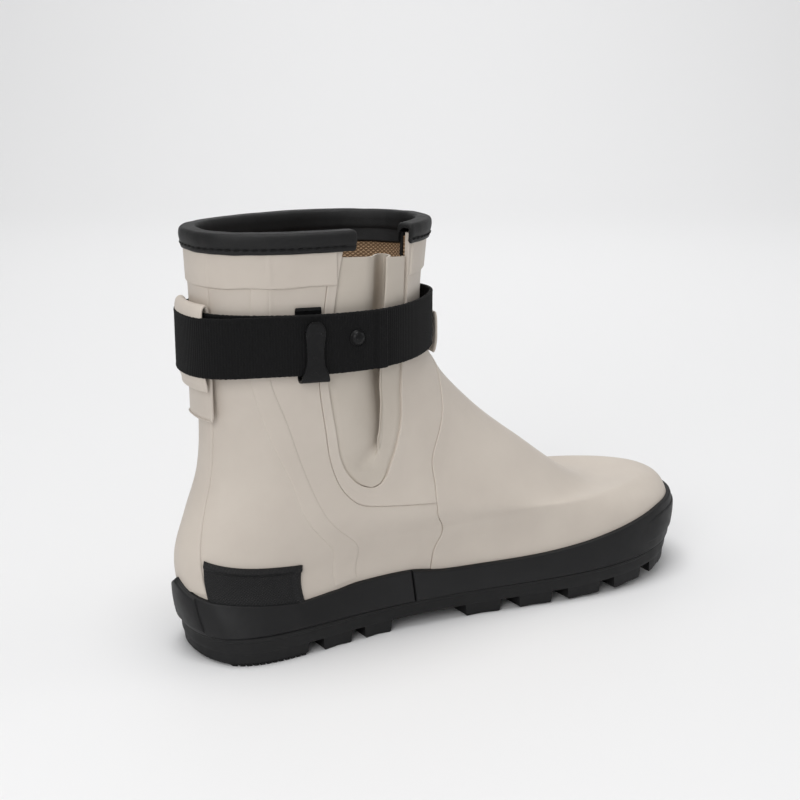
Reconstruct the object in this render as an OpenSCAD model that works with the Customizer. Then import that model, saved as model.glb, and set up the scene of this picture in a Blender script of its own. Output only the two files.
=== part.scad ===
// Short rubber rain boot, right foot: a bonded rubber upper on a lasted lining, a wrapped
// foxing and lug outsole, a pleated side gusset, a leather-bound collar and a webbing strap
// with a sliding metal hook. +X points to the toe, -Y is the outer side, +Z is up.

/* [Boot] */
// Overall length, heel foxing to toe foxing
boot_l = 294; // [290:1:298]
// Height of the collar above the ground
boot_h = 206; // [204:1:208]
// Thickness of the rubber sheet of the upper
rubber_t = 1.8; // [1.6:0.1:1.8]
// Thickness of the knitted lining
lining_t = 1; // [0.8:0.1:1]

/* [Sole] */
// Depth of the tread lugs
lug_h = 6.5; // [5.5:0.5:7]
// Top of the outsole plate above the ground, at the heel
plate_z = 13; // [12.6:0.1:13]
// Thickness of the foxing strip
foxing_t = 3; // [2.6:0.1:3]
// Rise of the sole at the toe tip
toe_spring = 8; // [7:1:9]

/* [Strap] */
// Width of the webbing
webbing_w = 28; // [26:1:28]
// Thickness of the webbing
webbing_t = 1.4; // [1.2:0.1:1.4]
// Height of the webbing's lower edge
strap_z = 141; // [140.5:0.5:141.5]
// Width of the metal strap hook
hook_w = 13; // [10:1:14]
// Thickness of the hook's metal
hook_t = 1.2; // [1:0.1:1.2]
// Diameter of the rivet's cap
rivet_d = 7.6; // [7:0.2:9]

/* [Hidden] */

// Sections of the last, from the feather line (row 0) to the collar (row 8). A row holds
// [back x, back z, front x, front z,
//  outer half-width at heel, waist, ball and toe, inner half-width at the same four,
//  roundness of the section, how late its height rises towards the toe]
LAST = [
    [6, 14, 288, 14 + toe_spring, 47.5, 31, 46, 61, 45.5, 31, 49, 60, 2.3, 6],
    [2, 33, 291, 43, 36, 30, 43.5, 57, 36, 30, 46, 56.5, 2.3, 1.45],
    [1, 50, 280, 53, 38, 33.5, 42.5, 49, 39, 33.5, 45.5, 50.5, 2.1, 1.25],
    [7, 69, 238, 54, 38, 37, 41, 42, 38, 37, 41, 44, 2.2, 1.4],
    [14, 90, 191.5, 85, 36.5, 35, 36, 36, 36.5, 35, 36, 36, 2.1, 1],
    [16, 113, 161, 109, 35, 36, 35, 34, 35, 36, 35, 34, 2.1, 1],
    [15, 138, 138.5, 134, 34, 37, 36, 32, 34, 37, 36, 32, 2.2, 1],
    [15, 160, 132, 160, 35, 37, 38, 29, 35, 37, 38, 29, 2.3, 1],
    [13.5, 206, 133.5, 206, 36.5, 38, 39, 34, 36.5, 38, 39, 34, 2.4, 1]
];
last_l = 294;
last_h = 206;
// Where along a section its four half-widths are taken
WIDTH_AT = [0.12, 0.38, 0.7, 0.92];
top_row = len(LAST) - 1;
// Moves the last so that the model's box is centred over the origin
shift = [-146.35, -1.04, 0];

// Height row of the panels' top edge, under the binding
panel_top = 7.9;
// Gap along the lapped seams, in degrees round the last and in rows of LAST
seam_phi = 0.35;
seam_w = 0.02;

// Half-extent of the vamp round the last at each row: [degrees, row]
VAMP_EDGE = [
    [98, 0], [97, 0.7], [96, 1.33], [94.5, 2], [92, 2.6], [88.5, 3.2], [84, 3.6], [77, 4.1],
    [67, 4.55], [55, 5], [43, 5.4], [33, 5.65], [22, 5.85], [10, 6.02], [3, 6.05]
];
// Front edge of the outer quarter from the feather line up: [degrees, row], and its rear rows
QUARTER_EDGE = [
    [-98, 0], [-97, 0.7], [-96, 1.33], [-94.5, 2], [-92, 2.6], [-88.5, 3.2], [-95, 3.21],
    [-101, 3.24], [-105.5, 3.28], [-108.5, 3.42], [-111, 3.8], [-111, 4.4], [-108.5, 5.1],
    [-105, 5.8], [-102, 6.4], [-98, 7.3], [-94, 7.9]
];
QUARTER_REAR = [0, 0.7, 1.33, 2, 2.5, 2.8, 3, 3.15, 3.3, 3.5, 3.85, 4.4, 5.1, 5.8, 6.4, 7.3, 7.9];
// Front edge of the inner quarter, and its rear rows
INNER_EDGE = [
    [98, 0], [97, 0.7], [96, 1.33], [94.5, 2], [92, 2.6], [88.5, 3.2], [100, 3.5], [95, 4.2],
    [88, 4.9], [80, 5.5], [72, 6.05], [65, 6.7], [62, 7.3], [60, 7.9]
];
INNER_REAR = [0, 0.7, 1.33, 2, 2.5, 2.9, 3.3, 4.2, 4.9, 5.5, 6.05, 6.7, 7.3, 7.9];
// Outer (lower) and inner (upper) edges of the front panel, which frames the gusset as a U,
// rises along the vamp, crosses the shin and comes down on the inner side
PANEL_LOW = [
    [-94, 7.9], [-98, 7.3], [-102, 6.4], [-105, 5.8], [-108.5, 5.1], [-111, 4.4], [-111, 3.8],
    [-108.5, 3.42], [-105.5, 3.28], [-101, 3.24], [-95, 3.21], [-88.5, 3.2], [-84, 3.6], [-77, 4.1],
    [-67, 4.55], [-55, 5], [-43, 5.4], [-33, 5.65], [-22, 5.85], [-10, 6.02], [-5, 6.06],
    [0, 6.07], [5, 6.06], [10, 6.02], [22, 5.85], [33, 5.65], [43, 5.4], [55, 5], [67, 4.55],
    [77, 4.1], [84, 3.6], [88.5, 3.2]
];
PANEL_HIGH = [
    [-90.5, 7.9], [-94, 7.3], [-98.5, 6.4], [-101, 5.8], [-104.5, 5.1], [-107, 4.45],
    [-106.5, 4], [-105, 3.78], [-102.5, 3.68], [-99.5, 3.78], [-96.5, 3.95], [-93.5, 4.15],
    [-88.5, 4.45], [-83, 4.8], [-78, 5.1], [-70.5, 5.6], [-64, 6], [-58, 6.7], [-55, 7.3],
    [-57, 7.9], [-23, 7.9], [0, 7.9], [23, 7.9], [46, 7.9], [60, 7.9], [62, 7.3], [65, 6.7],
    [72, 6.05], [80, 5.5], [88, 4.9], [95, 4.2], [100, 3.5]
];
// Rear and front edges of the gusset, from its rounded foot up: [degrees, row]
GUSSET_REAR = [
    [-103.5, 3.72], [-105.6, 4.05], [-106, 4.45], [-103.5, 5.1], [-100, 5.8], [-97.5, 6.4],
    [-93, 7.3], [-91, 7.68]
];
GUSSET_FRONT = [
    [-101.5, 3.72], [-96.2, 4.05], [-90, 4.45], [-79.5, 5.1], [-68.8, 5.8], [-62.5, 6.4],
    [-57.5, 7.3], [-58.5, 7.68]
];
pleat_d = 13;       // depth of the pleat at the collar
pleat_foot = 4.1;   // row where the pleat runs out
// Side band: rear and front edges, from the foxing up
BAND_REAR = [[-118.5, 0.86], [-120, 1.93], [-125, 3.28], [-128, 4], [-134, 5], [-137, 5.88],
    [-137, 6.6], [-134, 7.44]];
BAND_FRONT = [[-113, 0.98], [-114, 2.05], [-119, 3.38], [-122, 4.28], [-124, 5.3], [-126, 5.98],
    [-126, 6.6], [-124, 7.44]];
// Row of the foxing's top edge round the boot: [degrees from the toe, row]
FOXING_TOP = [
    [0, 1.02], [36, 0.96], [46, 0.86], [57, 0.75], [68, 0.66], [80, 0.62], [94, 0.67], [101, 0.8],
    [113, 0.79], [118, 0.72], [130, 0.64], [150, 0.8], [160, 0.9], [170, 1.05], [180, 1.38]
];

overlay_t = 1.2;    // thickness of the bonded overlays
overlay_gap = 0.2;  // bond line under an overlay
layer_gap = 0.4;    // bond line between the layers inside the upper
collar_low = 7.48;  // row of the collar band's lower edge
binding_front = -59;
binding_rear = 272; // the same direction as -88, reached round the heel
steps = 48;         // segments round a whole section

// ---- last surface ----

function lerp(a, b, t) = a + (b - a) * t;

// Catmull-Rom curve through the rows of a table
function cr(rows, w) =
    let(n = len(rows), c = max(0, min(w, n - 1.000001)), i = floor(c), t = c - i,
        b = rows[i], d = rows[i + 1],
        a = i == 0 ? 2 * b - d : rows[i - 1],
        e = i + 2 > n - 1 ? 2 * d - b : rows[i + 2])
    0.5 * (2 * b + (d - a) * t + (2 * a - 5 * b + 4 * d - e) * t * t
        + (3 * b - a - 3 * d + e) * t * t * t);

// Point at fraction u of a list, with straight stretches
function along(list, u) =
    let(k = u * (len(list) - 1), i = min(floor(k), len(list) - 2))
    lerp(list[i], list[i + 1], k - i);

// Cubic through four half-widths
function basis(t, k) =
    let(m = [for (j = [0 : 3]) if (j != k) (t - WIDTH_AT[j]) / (WIDTH_AT[k] - WIDTH_AT[j])])
    m[0] * m[1] * m[2];
function half_width(s, first, t) =
    let(c = max(0.03, min(t, 0.97)))
    s[first] * basis(c, 0) + s[first + 1] * basis(c, 1)
        + s[first + 2] * basis(c, 2) + s[first + 3] * basis(c, 3);

function power(v, e) = sign(v) * pow(abs(v), e);

// Point of the upper's outer surface at phi degrees (0 toe, 180 heel, negative outer side)
function skin(phi, w) =
    let(s = cr(LAST, w), e = 2 / s[12], t = (1 + power(cos(phi), e)) / 2,
        width = half_width(s, sin(phi) < 0 ? 4 : 8, t))
    shift + [
        lerp(s[0], s[2], t) * boot_l / last_l,
        width * power(sin(phi), e),
        lerp(s[1], s[3], pow(t, s[13])) * boot_h / last_h
    ];

function unit(v) = v / norm(v);
function skin_normal(phi, w) =
    unit(cross(skin(phi + 1.5, w) - skin(phi - 1.5, w),
        skin(phi, min(w + 0.06, top_row)) - skin(phi, max(w - 0.06, 0))));
// Point at distance d outside the upper's outer surface
function off_skin(phi, w, d) = skin(phi, w) + d * skin_normal(phi, w);

// Closed solid between two layers of the grid f(u, v, layer)
module shell(f, nu, nv, ring = false) {
    cols = ring ? nu : nu + 1;
    rows = nv + 1;
    points = [for (s = [0, 1], i = [0 : cols - 1], j = [0 : nv]) f(i / nu, j / nv, s)];
    at = function(s, i, j) s * cols * rows + (i % cols) * rows + j;
    skins = [for (s = [0, 1], i = [0 : nu - 1], j = [0 : nv - 1])
        let(a = at(s, i, j), b = at(s, i + 1, j), c = at(s, i + 1, j + 1), d = at(s, i, j + 1))
        each s == 1 ? [[a, d, c], [a, c, b]] : [[a, c, d], [a, b, c]]];
    rims = [for (i = [0 : nu - 1], j = [0, nv])
        let(a = at(0, i, j), b = at(0, i + 1, j), c = at(1, i + 1, j), d = at(1, i, j))
        each j == 0 ? [[a, d, c], [a, c, b]] : [[a, c, d], [a, b, c]]];
    ends = ring ? [] : [for (i = [0, nu], j = [0 : nv - 1])
        let(a = at(0, i, j), b = at(0, i, j + 1), c = at(1, i, j + 1), d = at(1, i, j))
        each i == 0 ? [[a, b, c], [a, c, d]] : [[a, c, b], [a, d, c]]];
    polyhedron(points, concat(skins, rims, ends));
}

// Sheet on the last between two edges given from the bottom up
module sheet(left, right, nu, nv, d0, d1) {
    shell(function(u, v, s)
        let(q = lerp(along(left, v), along(right, v), u)) off_skin(q[0], q[1], s == 1 ? d1 : d0),
        nu, nv);
}

// The same list of [degrees, row] moved by a seam gap, or mirrored to the other side
function moved(list, dphi, dw = 0) = [for (p = list) [p[0] + dphi, p[1] + dw]];
function mirrored(list) = [for (p = list) [-p[0], p[1]]];

// ---- sole ----

// Rise of the sole at a distance x from the heel end, the same curve as row 0 of LAST
function spring(x) =
    let(base = LAST[0], t = (x * last_l / boot_l - base[0]) / (base[2] - base[0]))
    toe_spring * pow(max(0, min(t, 1.04)), base[13]);

// Outline of a section of the last, grown by off
function outline(w, off) = [for (i = [0 : 71]) let(phi = i * 5, p = skin(phi, w),
    t = skin(phi + 1.5, w) - skin(phi - 1.5, w), n = unit([t[1], -t[0]]))
    [p[0] + off * n[0], p[1] + off * n[1]]];

// Slab that follows the toe spring, cut to an outline
module plate(w, off, low, high) {
    xs = [for (i = [0 : 24]) lerp(-8, boot_l + 8, i / 24)];
    profile = concat([for (x = xs) [x + shift[0], low + spring(x)]],
        [for (i = [24 : -1 : 0]) [xs[i] + shift[0], high + spring(xs[i])]]);
    intersection() {
        translate([0, 0, -20]) linear_extrude(80) polygon(outline(w, off));
        translate([0, 100, 0]) rotate([90, 0, 0]) linear_extrude(200) polygon(profile);
    }
}

// Tread lugs: [from x, to x] along the outer and inner edges, then the middle rows
EDGE_LUGS = [[61, 78], [85, 101], [143, 163], [173, 192], [201, 221], [230, 250], [258, 292]];
INNER_LUGS = [[61, 78], [85, 101], [145, 165], [175, 194], [203, 223], [232, 250], [258, 292]];
MIDDLE_LUGS = [[66, 94], [152, 170], [178, 196], [204, 222], [230, 246]];
heel_block = [0, 53];
edge_lug_w = 24;
channel_w = 5;

module lugs() {
    reach = 80;
    for (g = EDGE_LUGS) {
        translate([g[0] + shift[0], -reach + shift[1] - channel_w - 8, -1])
            cube([g[1] - g[0], reach, 40]);
    }
    for (g = INNER_LUGS) {
        translate([g[0] + shift[0], shift[1] + channel_w + 8, -1]) cube([g[1] - g[0], reach, 40]);
    }
    for (g = MIDDLE_LUGS) {
        translate([g[0] + shift[0], shift[1] - 9, -1]) cube([g[1] - g[0], 18, 40]);
    }
    translate([heel_block[0] - 10 + shift[0], -reach, -1])
        cube([heel_block[1] - heel_block[0] + 10, 2 * reach, 40]);
    translate([262 + shift[0], -reach, -1]) cube([40, 2 * reach, 40]);
}

module outsole() {
    plate_inset = -1.2;
    lug_inset = -2.4;
    color([0.09, 0.09, 0.1]) union() {
        plate(0, foxing_t + plate_inset, lug_h, plate_z);
        intersection() {
            plate(0, foxing_t + lug_inset, 0, lug_h + 0.5);
            lugs();
        }
    }
}

module midsole_filler() {
    color([0.62, 0.5, 0.36]) difference() {
        plate(0, -6.8, plate_z + 0.1, plate_z + 3);
        translate([80 + shift[0], shift[1] - 7, plate_z + 1.4]) cube([90, 14, 8]);
    }
}

module shank() {
    color([0.55, 0.56, 0.58])
        translate([82 + shift[0], shift[1] - 6, plate_z + 1.5]) cube([86, 12, 1.4]);
}

module insole_board() {
    color([0.7, 0.6, 0.45]) plate(0, -6.8, plate_z + 3.1, plate_z + 4.9);
}

footbed_w = 0.9;
module footbed() {
    color([0.16, 0.15, 0.14]) plate(footbed_w, -8.4, plate_z + 5.2, plate_z + 9);
}

// ---- foxing ----

function foxing_top(phi) = lookup(abs(phi > 180 ? phi - 360 : phi), FOXING_TOP);

module foxing(from, to, nu) {
    shell(function(u, v, s)
        let(phi = lerp(from, to, u), w = v * foxing_top(phi))
        off_skin(phi, w, s == 1 ? lerp(foxing_t, foxing_t - 0.8, v) : overlay_gap), nu, 3);
}

foxing_seam = 101;
module foxing_rear() {
    color([0.1, 0.1, 0.11]) foxing(foxing_seam + seam_phi, 360 - foxing_seam - seam_phi, 40);
}
module foxing_front() {
    color([0.1, 0.1, 0.11]) foxing(-foxing_seam + seam_phi, foxing_seam - seam_phi, 48);
}

// Extra strip on the foxing
module foxing_strip(from, to, low, high, thick, nu) {
    shell(function(u, v, s)
        let(phi = lerp(from, to, u), w = lerp(low, high, v) * foxing_top(phi))
        off_skin(phi, w, foxing_t + overlay_gap + (s == 1 ? thick : 0)), nu, 2);
}
module toe_bumper() {
    color([0.1, 0.1, 0.11]) foxing_strip(-42, 42, 0.3, 0.78, 0.8, 24);
}
module heel_spur() {
    color([0.1, 0.1, 0.11]) foxing_strip(168, 192, 0.12, 0.97, 0.6, 8);
}

// Scuff patch above the heel foxing, with a raised rim at its top and front
module heel_patch(side) {
    rear = 161;
    front = 128;
    rim = 1.1;
    shell(function(u, v, s)
        let(phi = lerp(rear, front, u), low = foxing_top(phi) + 0.03, high = lerp(2.05, 1.58, u)
                - 0.03 * sin(180 * u),
            thick = 1.3 + (v > 0.86 || u > 0.93 ? rim : 0),
            p = side < 0 ? [-phi, lerp(low, high, v)] : [phi, lerp(low, high, v)])
        off_skin(p[0], p[1], (side < 0 ? s == 1 : s == 0) ? overlay_gap + thick : overlay_gap),
        16, 8);
}
module heel_patch_lateral() {
    color([0.12, 0.12, 0.13]) heel_patch(-1);
}
module heel_patch_medial() {
    color([0.12, 0.12, 0.13]) heel_patch(1);
}

// ---- upper ----

module vamp() {
    color([0.78, 0.74, 0.68])
        sheet(moved(mirrored(VAMP_EDGE), seam_phi, -seam_w), moved(VAMP_EDGE, -seam_phi, -seam_w),
            26, 28, -rubber_t, 0);
}

module front_panel() {
    color([0.77, 0.73, 0.67]) shell(function(u, v, s)
        let(q = lerp(along(PANEL_LOW, u) + [0, seam_w], along(PANEL_HIGH, u), v))
        off_skin(q[0], q[1], s == 1 ? 0 : -rubber_t), 62, 4);
}

module quarter_lateral() {
    rear = [for (w = QUARTER_REAR) [-180 + seam_phi, w]];
    color([0.78, 0.74, 0.68])
        sheet(rear, moved(QUARTER_EDGE, -seam_phi, -seam_w), 14, 32, -rubber_t, 0);
}

module quarter_medial() {
    rear = [for (w = INNER_REAR) [180 - seam_phi, w]];
    color([0.78, 0.74, 0.68])
        sheet(moved(INNER_EDGE, seam_phi, -seam_w), rear, 16, 26, -rubber_t, 0);
}

// Depth of the inward pleat: a slow fall from the rear, a steep return at the front lip
function pleat(u, w) =
    let(run = max(0, (w - pleat_foot) / (top_row - pleat_foot)), deep = pleat_d * pow(run, 0.7),
        lip = 0.66, t = u < lip ? u / lip : (1 - u) / (1 - lip))
    deep * (u < lip ? pow(t, 2.6) : pow(max(0, (t - 0.55) / 0.45), 0.8));

module gusset() {
    cloth_t = 1.2;
    color([0.74, 0.7, 0.63]) shell(function(u, v, s)
        let(q = lerp(along(GUSSET_REAR, v), along(GUSSET_FRONT, v), u))
        off_skin(q[0], q[1], -0.3 - pleat(u, q[1]) - (s == 1 ? 0 : cloth_t)), 24, 14);
}

// Half-width of the backstay from the foxing up, in degrees
BACKSTAY_HALF = [19, 17.4, 14, 12, 12.5, 15, 16, 16];
module backstay() {
    color([0.79, 0.75, 0.69]) shell(function(u, v, s)
        let(half = along(BACKSTAY_HALF, v), phi = lerp(180 - half, 180 + half, u),
            w = lerp(foxing_top(phi) + 0.04, collar_low - 0.04, v))
        off_skin(phi, w, overlay_gap + (s == 1 ? overlay_t : 0)), 6, 20);
}

module side_band_lateral() {
    color([0.79, 0.75, 0.69]) sheet(BAND_REAR, BAND_FRONT, 3, 18, 0.35, 1);
}
module side_band_medial() {
    color([0.79, 0.75, 0.69])
        sheet(mirrored(BAND_FRONT), mirrored(BAND_REAR), 3, 18, 0.35, 1);
}

module collar_band() {
    color([0.79, 0.75, 0.69]) shell(function(u, v, s)
        let(phi = lerp(-54, 267, u), w = lerp(collar_low, panel_top, v))
        off_skin(phi, w, overlay_gap + (s == 1 ? overlay_t : 0)), steps, 2);
}

// ---- inner layers ----

stiff_t = 1;
module stiffener(from, to, high) {
    shell(function(u, v, s)
        let(phi = lerp(from, to, u), w = lerp(0.15, high, v))
        off_skin(phi, w, -rubber_t - layer_gap - (s == 1 ? 0 : stiff_t)), 20, 6);
}
module heel_counter() {
    color([0.35, 0.33, 0.3]) stiffener(125, 235, 2.9);
}
module toe_puff() {
    color([0.35, 0.33, 0.3]) stiffener(-48, 48, 2.6);
}

lining_high = 3.6;
module lining_foot() {
    d = -rubber_t - stiff_t - 2 * layer_gap;
    color([0.72, 0.53, 0.35]) shell(function(u, v, s)
        off_skin(360 * u, lerp(0.12, lining_high, v), s == 1 ? d : d - lining_t), steps, 8, true);
}

module lining_shaft() {
    left = concat([for (p = GUSSET_FRONT) [p[0] + 3, p[1]]], [[-56, 7.86]]);
    right = concat([for (p = GUSSET_REAR) [p[0] + 360 - 3, p[1]]], [[268, 7.86]]);
    d = -rubber_t - layer_gap;
    color([0.72, 0.53, 0.35]) sheet(left, right, steps, 13, d - lining_t, d);
}

module collar_facing() {
    d = -rubber_t - lining_t - 1.5 * layer_gap;
    color([0.06, 0.06, 0.07]) shell(function(u, v, s)
        off_skin(lerp(-57, 268, u), lerp(7.65, 7.86, v), s == 1 ? d : d - 0.9), steps, 1);
}

// ---- collar binding ----

// Section of the binding as [distance off the skin, row], counted round its C
BINDING_OUT = [[1.7, 7.82], [2.6, 7.815], [3, 7.86], [3, 7.94], [2.3, 7.985], [1, 8], [-3.6, 8],
    [-5.2, 7.98], [-5.6, 7.92], [-5.5, 7.79]];
BINDING_IN = [[1.6, 7.83], [1.6, 7.85], [1.6, 7.88], [1.6, 7.91], [1.5, 7.945], [0, 7.95],
    [-3, 7.95], [-4.4, 7.945], [-4.6, 7.88], [-4.6, 7.79]];
module collar_binding() {
    color([0.07, 0.07, 0.08]) shell(function(u, v, s)
        let(q = along(s == 1 ? BINDING_OUT : BINDING_IN, 1 - v))
        off_skin(lerp(binding_rear, binding_front, u), q[1], q[0]), 50, 9);
}

module binding_stitching() {
    stitches = 64;
    stitch_l = 3.2;
    color([0.05, 0.05, 0.05]) for (i = [1 : stitches - 1]) {
        phi = lerp(binding_front, binding_rear, i / stitches);
        p = off_skin(phi, 7.85, 3.45);
        t = skin(phi + 1, 7.85) - skin(phi - 1, 7.85);
        translate(p) rotate([0, 90, atan2(t[1], t[0])])
            translate([0, 0, -stitch_l / 2]) cylinder(h = stitch_l, r = 0.35, $fn = 16);
    }
}

// ---- strap ----

// The webbing stands off the last at this row by a distance that varies round the boot,
// from the toe side (first) to the heel (last)
ring_row = 6.7;
RING_GAP = [[4.8], [3.7], [3], [3], [3.1], [3.5], [3.6]];
function ring_flat(phi) =
    let(a = (phi % 360 + 360) % 360, p = off_skin(phi, ring_row,
        cr(RING_GAP, (a > 180 ? 360 - a : a) / 30)[0]))
    [p[0], p[1]];
function ring_normal(phi) =
    let(t = ring_flat(phi + 1) - ring_flat(phi - 1)) unit([t[1], -t[0]]);
function ring(phi, z, d) =
    let(p = ring_flat(phi) + d * ring_normal(phi)) [p[0], p[1], z];

module strap_inner() {
    color([0.08, 0.08, 0.09]) shell(function(u, v, s)
        ring(360 * u, strap_z + webbing_w * v, s * webbing_t), 60, 1, true);
}

tail_front = 284;   // direction of the tail's folded end, the same as -76
tail_rear = 110;
loop_t = 1.5;
// The tail rides over the heel loop
function tail_lift(phi) =
    let(k = max(0, min(1, (52 - abs(phi - 180)) / 34))) (loop_t + 0.4) * k * k * (3 - 2 * k);
module strap_tail() {
    color([0.08, 0.08, 0.09]) shell(function(u, v, s)
        let(phi = lerp(tail_rear, tail_front, u),
            lift = tail_lift(phi))
        ring(phi, strap_z + webbing_w * v, webbing_t + 0.2 + lift + s * webbing_t), 48, 1);
}

// Loop path in [distance outwards from the last's back, height], a hairpin over the strap
function loop_point(path, k) = path[max(0, min(k, len(path) - 1))];
module strap_loop(phi0, path, half) {
    n = len(path) - 1;
    shell(function(u, v, s)
        let(k = round(v * n), p = path[k],
            t = unit(loop_point(path, k + 1) - loop_point(path, k - 1)),
            q = p + (s == 1 ? 1 : 0) * loop_t * [t[1], -t[0]],
            phi = phi0 + half * (2 * u - 1), b = skin(phi, 7), m = skin_normal(phi, 7))
        [b[0] + q[0] * m[0], b[1] + q[0] * m[1], q[1]], 4, n);
}

HEEL_LOOP = [
    [3.15, 119], [3.15, 130], [3.15, 142], [3.15, 154], [3.15, 165], [3.2, 169.2], [3.8, 171],
    [4.8, 170.8], [5.2, 167], [5.2, 157], [5.2, 147], [5.2, 140], [4.9, 137.5], [4.2, 135.8],
    [3.4, 135]
];
module heel_loop() {
    color([0.78, 0.74, 0.68]) mirror_path(HEEL_LOOP, 180, 15);
}
module mirror_path(path, phi0, half) {
    strap_loop(phi0, [for (i = [len(path) - 1 : -1 : 0]) path[i]], half);
}

FRONT_LOOP = [
    [8.3, 155], [8.4, 152], [8.4, 146], [8.3, 141], [7.7, 138], [7, 135.5]
];
module front_loop() {
    color([0.78, 0.74, 0.68]) mirror_path(FRONT_LOOP, 0, 9);
}

// ---- metal parts ----

hook_phi = -106;
plate_gap = 0.9;       // between the hook's plate and the webbing, for its travel round the curve
tongue_gap = 0.5;
hook_low = strap_z - 3.6;
hook_top = strap_z + webbing_w + 1.7;

// Places children on the strap at phi, with +X along it towards the toe and -Y outwards
module on_ring(phi) {
    p = ring_flat(phi);
    n = ring_normal(phi);
    translate([p[0], p[1], 0]) rotate([0, 0, atan2(n[1], n[0]) + 90]) children();
}

module strap_hook() {
    outside = 2 * webbing_t + 0.2 + tongue_gap;
    // Side view as [outwards, height]: plate behind, bend below, tongue in front
    back = [[-plate_gap - hook_t, hook_low + 1.5], [-plate_gap - hook_t + 1.5, hook_low],
        [outside + hook_t - 1.5, hook_low], [outside + hook_t, hook_low + 1.5]];
    front = [[outside + hook_t, hook_low + 18], [outside + hook_t + 1.2, hook_low + 27],
        [outside + hook_t + 0.2, hook_low + 28.5], [outside + 0.3, hook_low + 26],
        [outside, hook_low + 18]];
    inner = [[outside, hook_low + 2.4], [outside - 0.8, hook_low + hook_t],
        [-plate_gap + 0.8, hook_low + hook_t], [-plate_gap, hook_low + 2.4],
        [-plate_gap, hook_top - 2], [-plate_gap + 0.8, hook_top], [-plate_gap - 0.6, hook_top + 0.8],
        [-plate_gap - hook_t, hook_top - 1.5]];
    // Front view of the tongue: a foot, a waist and a bottle-shaped head
    tongue = [[-0.5, 0], [0.5, 0], [0.5, 0.12], [0.38, 0.28], [0.37, 0.62], [0.46, 0.74],
        [0.42, 0.9], [0.2, 1], [-0.12, 1], [-0.34, 0.9], [-0.38, 0.74], [-0.27, 0.62],
        [-0.28, 0.28], [-0.5, 0.12]];
    tall = 28.5;
    color([0.1, 0.1, 0.11]) on_ring(hook_phi) difference() {
        translate([hook_w / 2, 0, 0]) rotate([90, 0, -90])
            linear_extrude(hook_w) polygon(concat(back, front, inner));
        // Cuts the tongue to its outline
        translate([0, -outside + 0.25, hook_low]) rotate([90, 0, 0]) linear_extrude(10)
            difference() {
                translate([-hook_w, -1]) square([2 * hook_w, tall + 4]);
                polygon([for (p = tongue) [p[0] * hook_w, p[1] * (tall + 0.5) - (p[1] == 0 ? 1.5 : 0)]]);
            }
    }
}

rivet_phi = -89;
rivet_z = strap_z + 16;
module at_rivet(d) {
    on_ring(rivet_phi) translate([0, -d, rivet_z]) rotate([90, 0, 0]) children();
}
rivet_out = 2 * webbing_t + 0.25;
module rivet_cap() {
    dome = 2.2;
    color([0.12, 0.12, 0.13]) at_rivet(rivet_out) rotate_extrude($fn = 48)
        polygon(concat([[0, 0]], [for (a = [0 : 15 : 90]) [rivet_d / 2 * cos(a), 0.5 + dome * sin(a)]],
            [[0, 0.5 + dome]]));
}
module rivet_post() {
    color([0.6, 0.6, 0.62]) at_rivet(-1) cylinder(h = rivet_out + 0.95, r = 1.5, $fn = 32);
}
module rivet_burr() {
    color([0.6, 0.6, 0.62]) at_rivet(-1) difference() {
        translate([0, 0, 0]) cylinder(h = 0.8, r = 3.6, $fn = 40);
        translate([0, 0, -1]) cylinder(h = 3, r = 1.55, $fn = 32);
    }
}

outsole();
midsole_filler();
shank();
insole_board();
footbed();
foxing_rear();
foxing_front();
toe_bumper();
heel_spur();
heel_patch_lateral();
heel_patch_medial();
vamp();
front_panel();
quarter_lateral();
quarter_medial();
gusset();
backstay();
side_band_lateral();
side_band_medial();
collar_band();
heel_counter();
toe_puff();
lining_foot();
lining_shaft();
collar_facing();
collar_binding();
binding_stitching();
heel_loop();
front_loop();
strap_inner();
strap_tail();
strap_hook();
rivet_cap();
rivet_post();
rivet_burr();
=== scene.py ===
"""Rubber rain boot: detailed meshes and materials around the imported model."""
import math

import bmesh
import bpy
import numpy as np
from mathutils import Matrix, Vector


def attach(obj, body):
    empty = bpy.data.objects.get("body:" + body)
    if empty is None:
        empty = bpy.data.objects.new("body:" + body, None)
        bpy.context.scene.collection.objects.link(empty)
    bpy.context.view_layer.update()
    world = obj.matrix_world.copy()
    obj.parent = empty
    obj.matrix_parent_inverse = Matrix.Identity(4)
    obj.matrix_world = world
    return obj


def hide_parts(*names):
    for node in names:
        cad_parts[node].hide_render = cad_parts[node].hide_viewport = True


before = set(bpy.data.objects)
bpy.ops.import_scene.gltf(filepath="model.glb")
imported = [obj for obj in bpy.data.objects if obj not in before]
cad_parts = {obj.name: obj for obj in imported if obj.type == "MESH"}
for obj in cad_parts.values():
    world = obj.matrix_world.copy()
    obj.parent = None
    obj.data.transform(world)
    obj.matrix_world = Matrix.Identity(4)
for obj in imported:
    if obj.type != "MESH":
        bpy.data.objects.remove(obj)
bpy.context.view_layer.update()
MM = 0.001

# ---------------------------------------------------------------- the last

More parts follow.
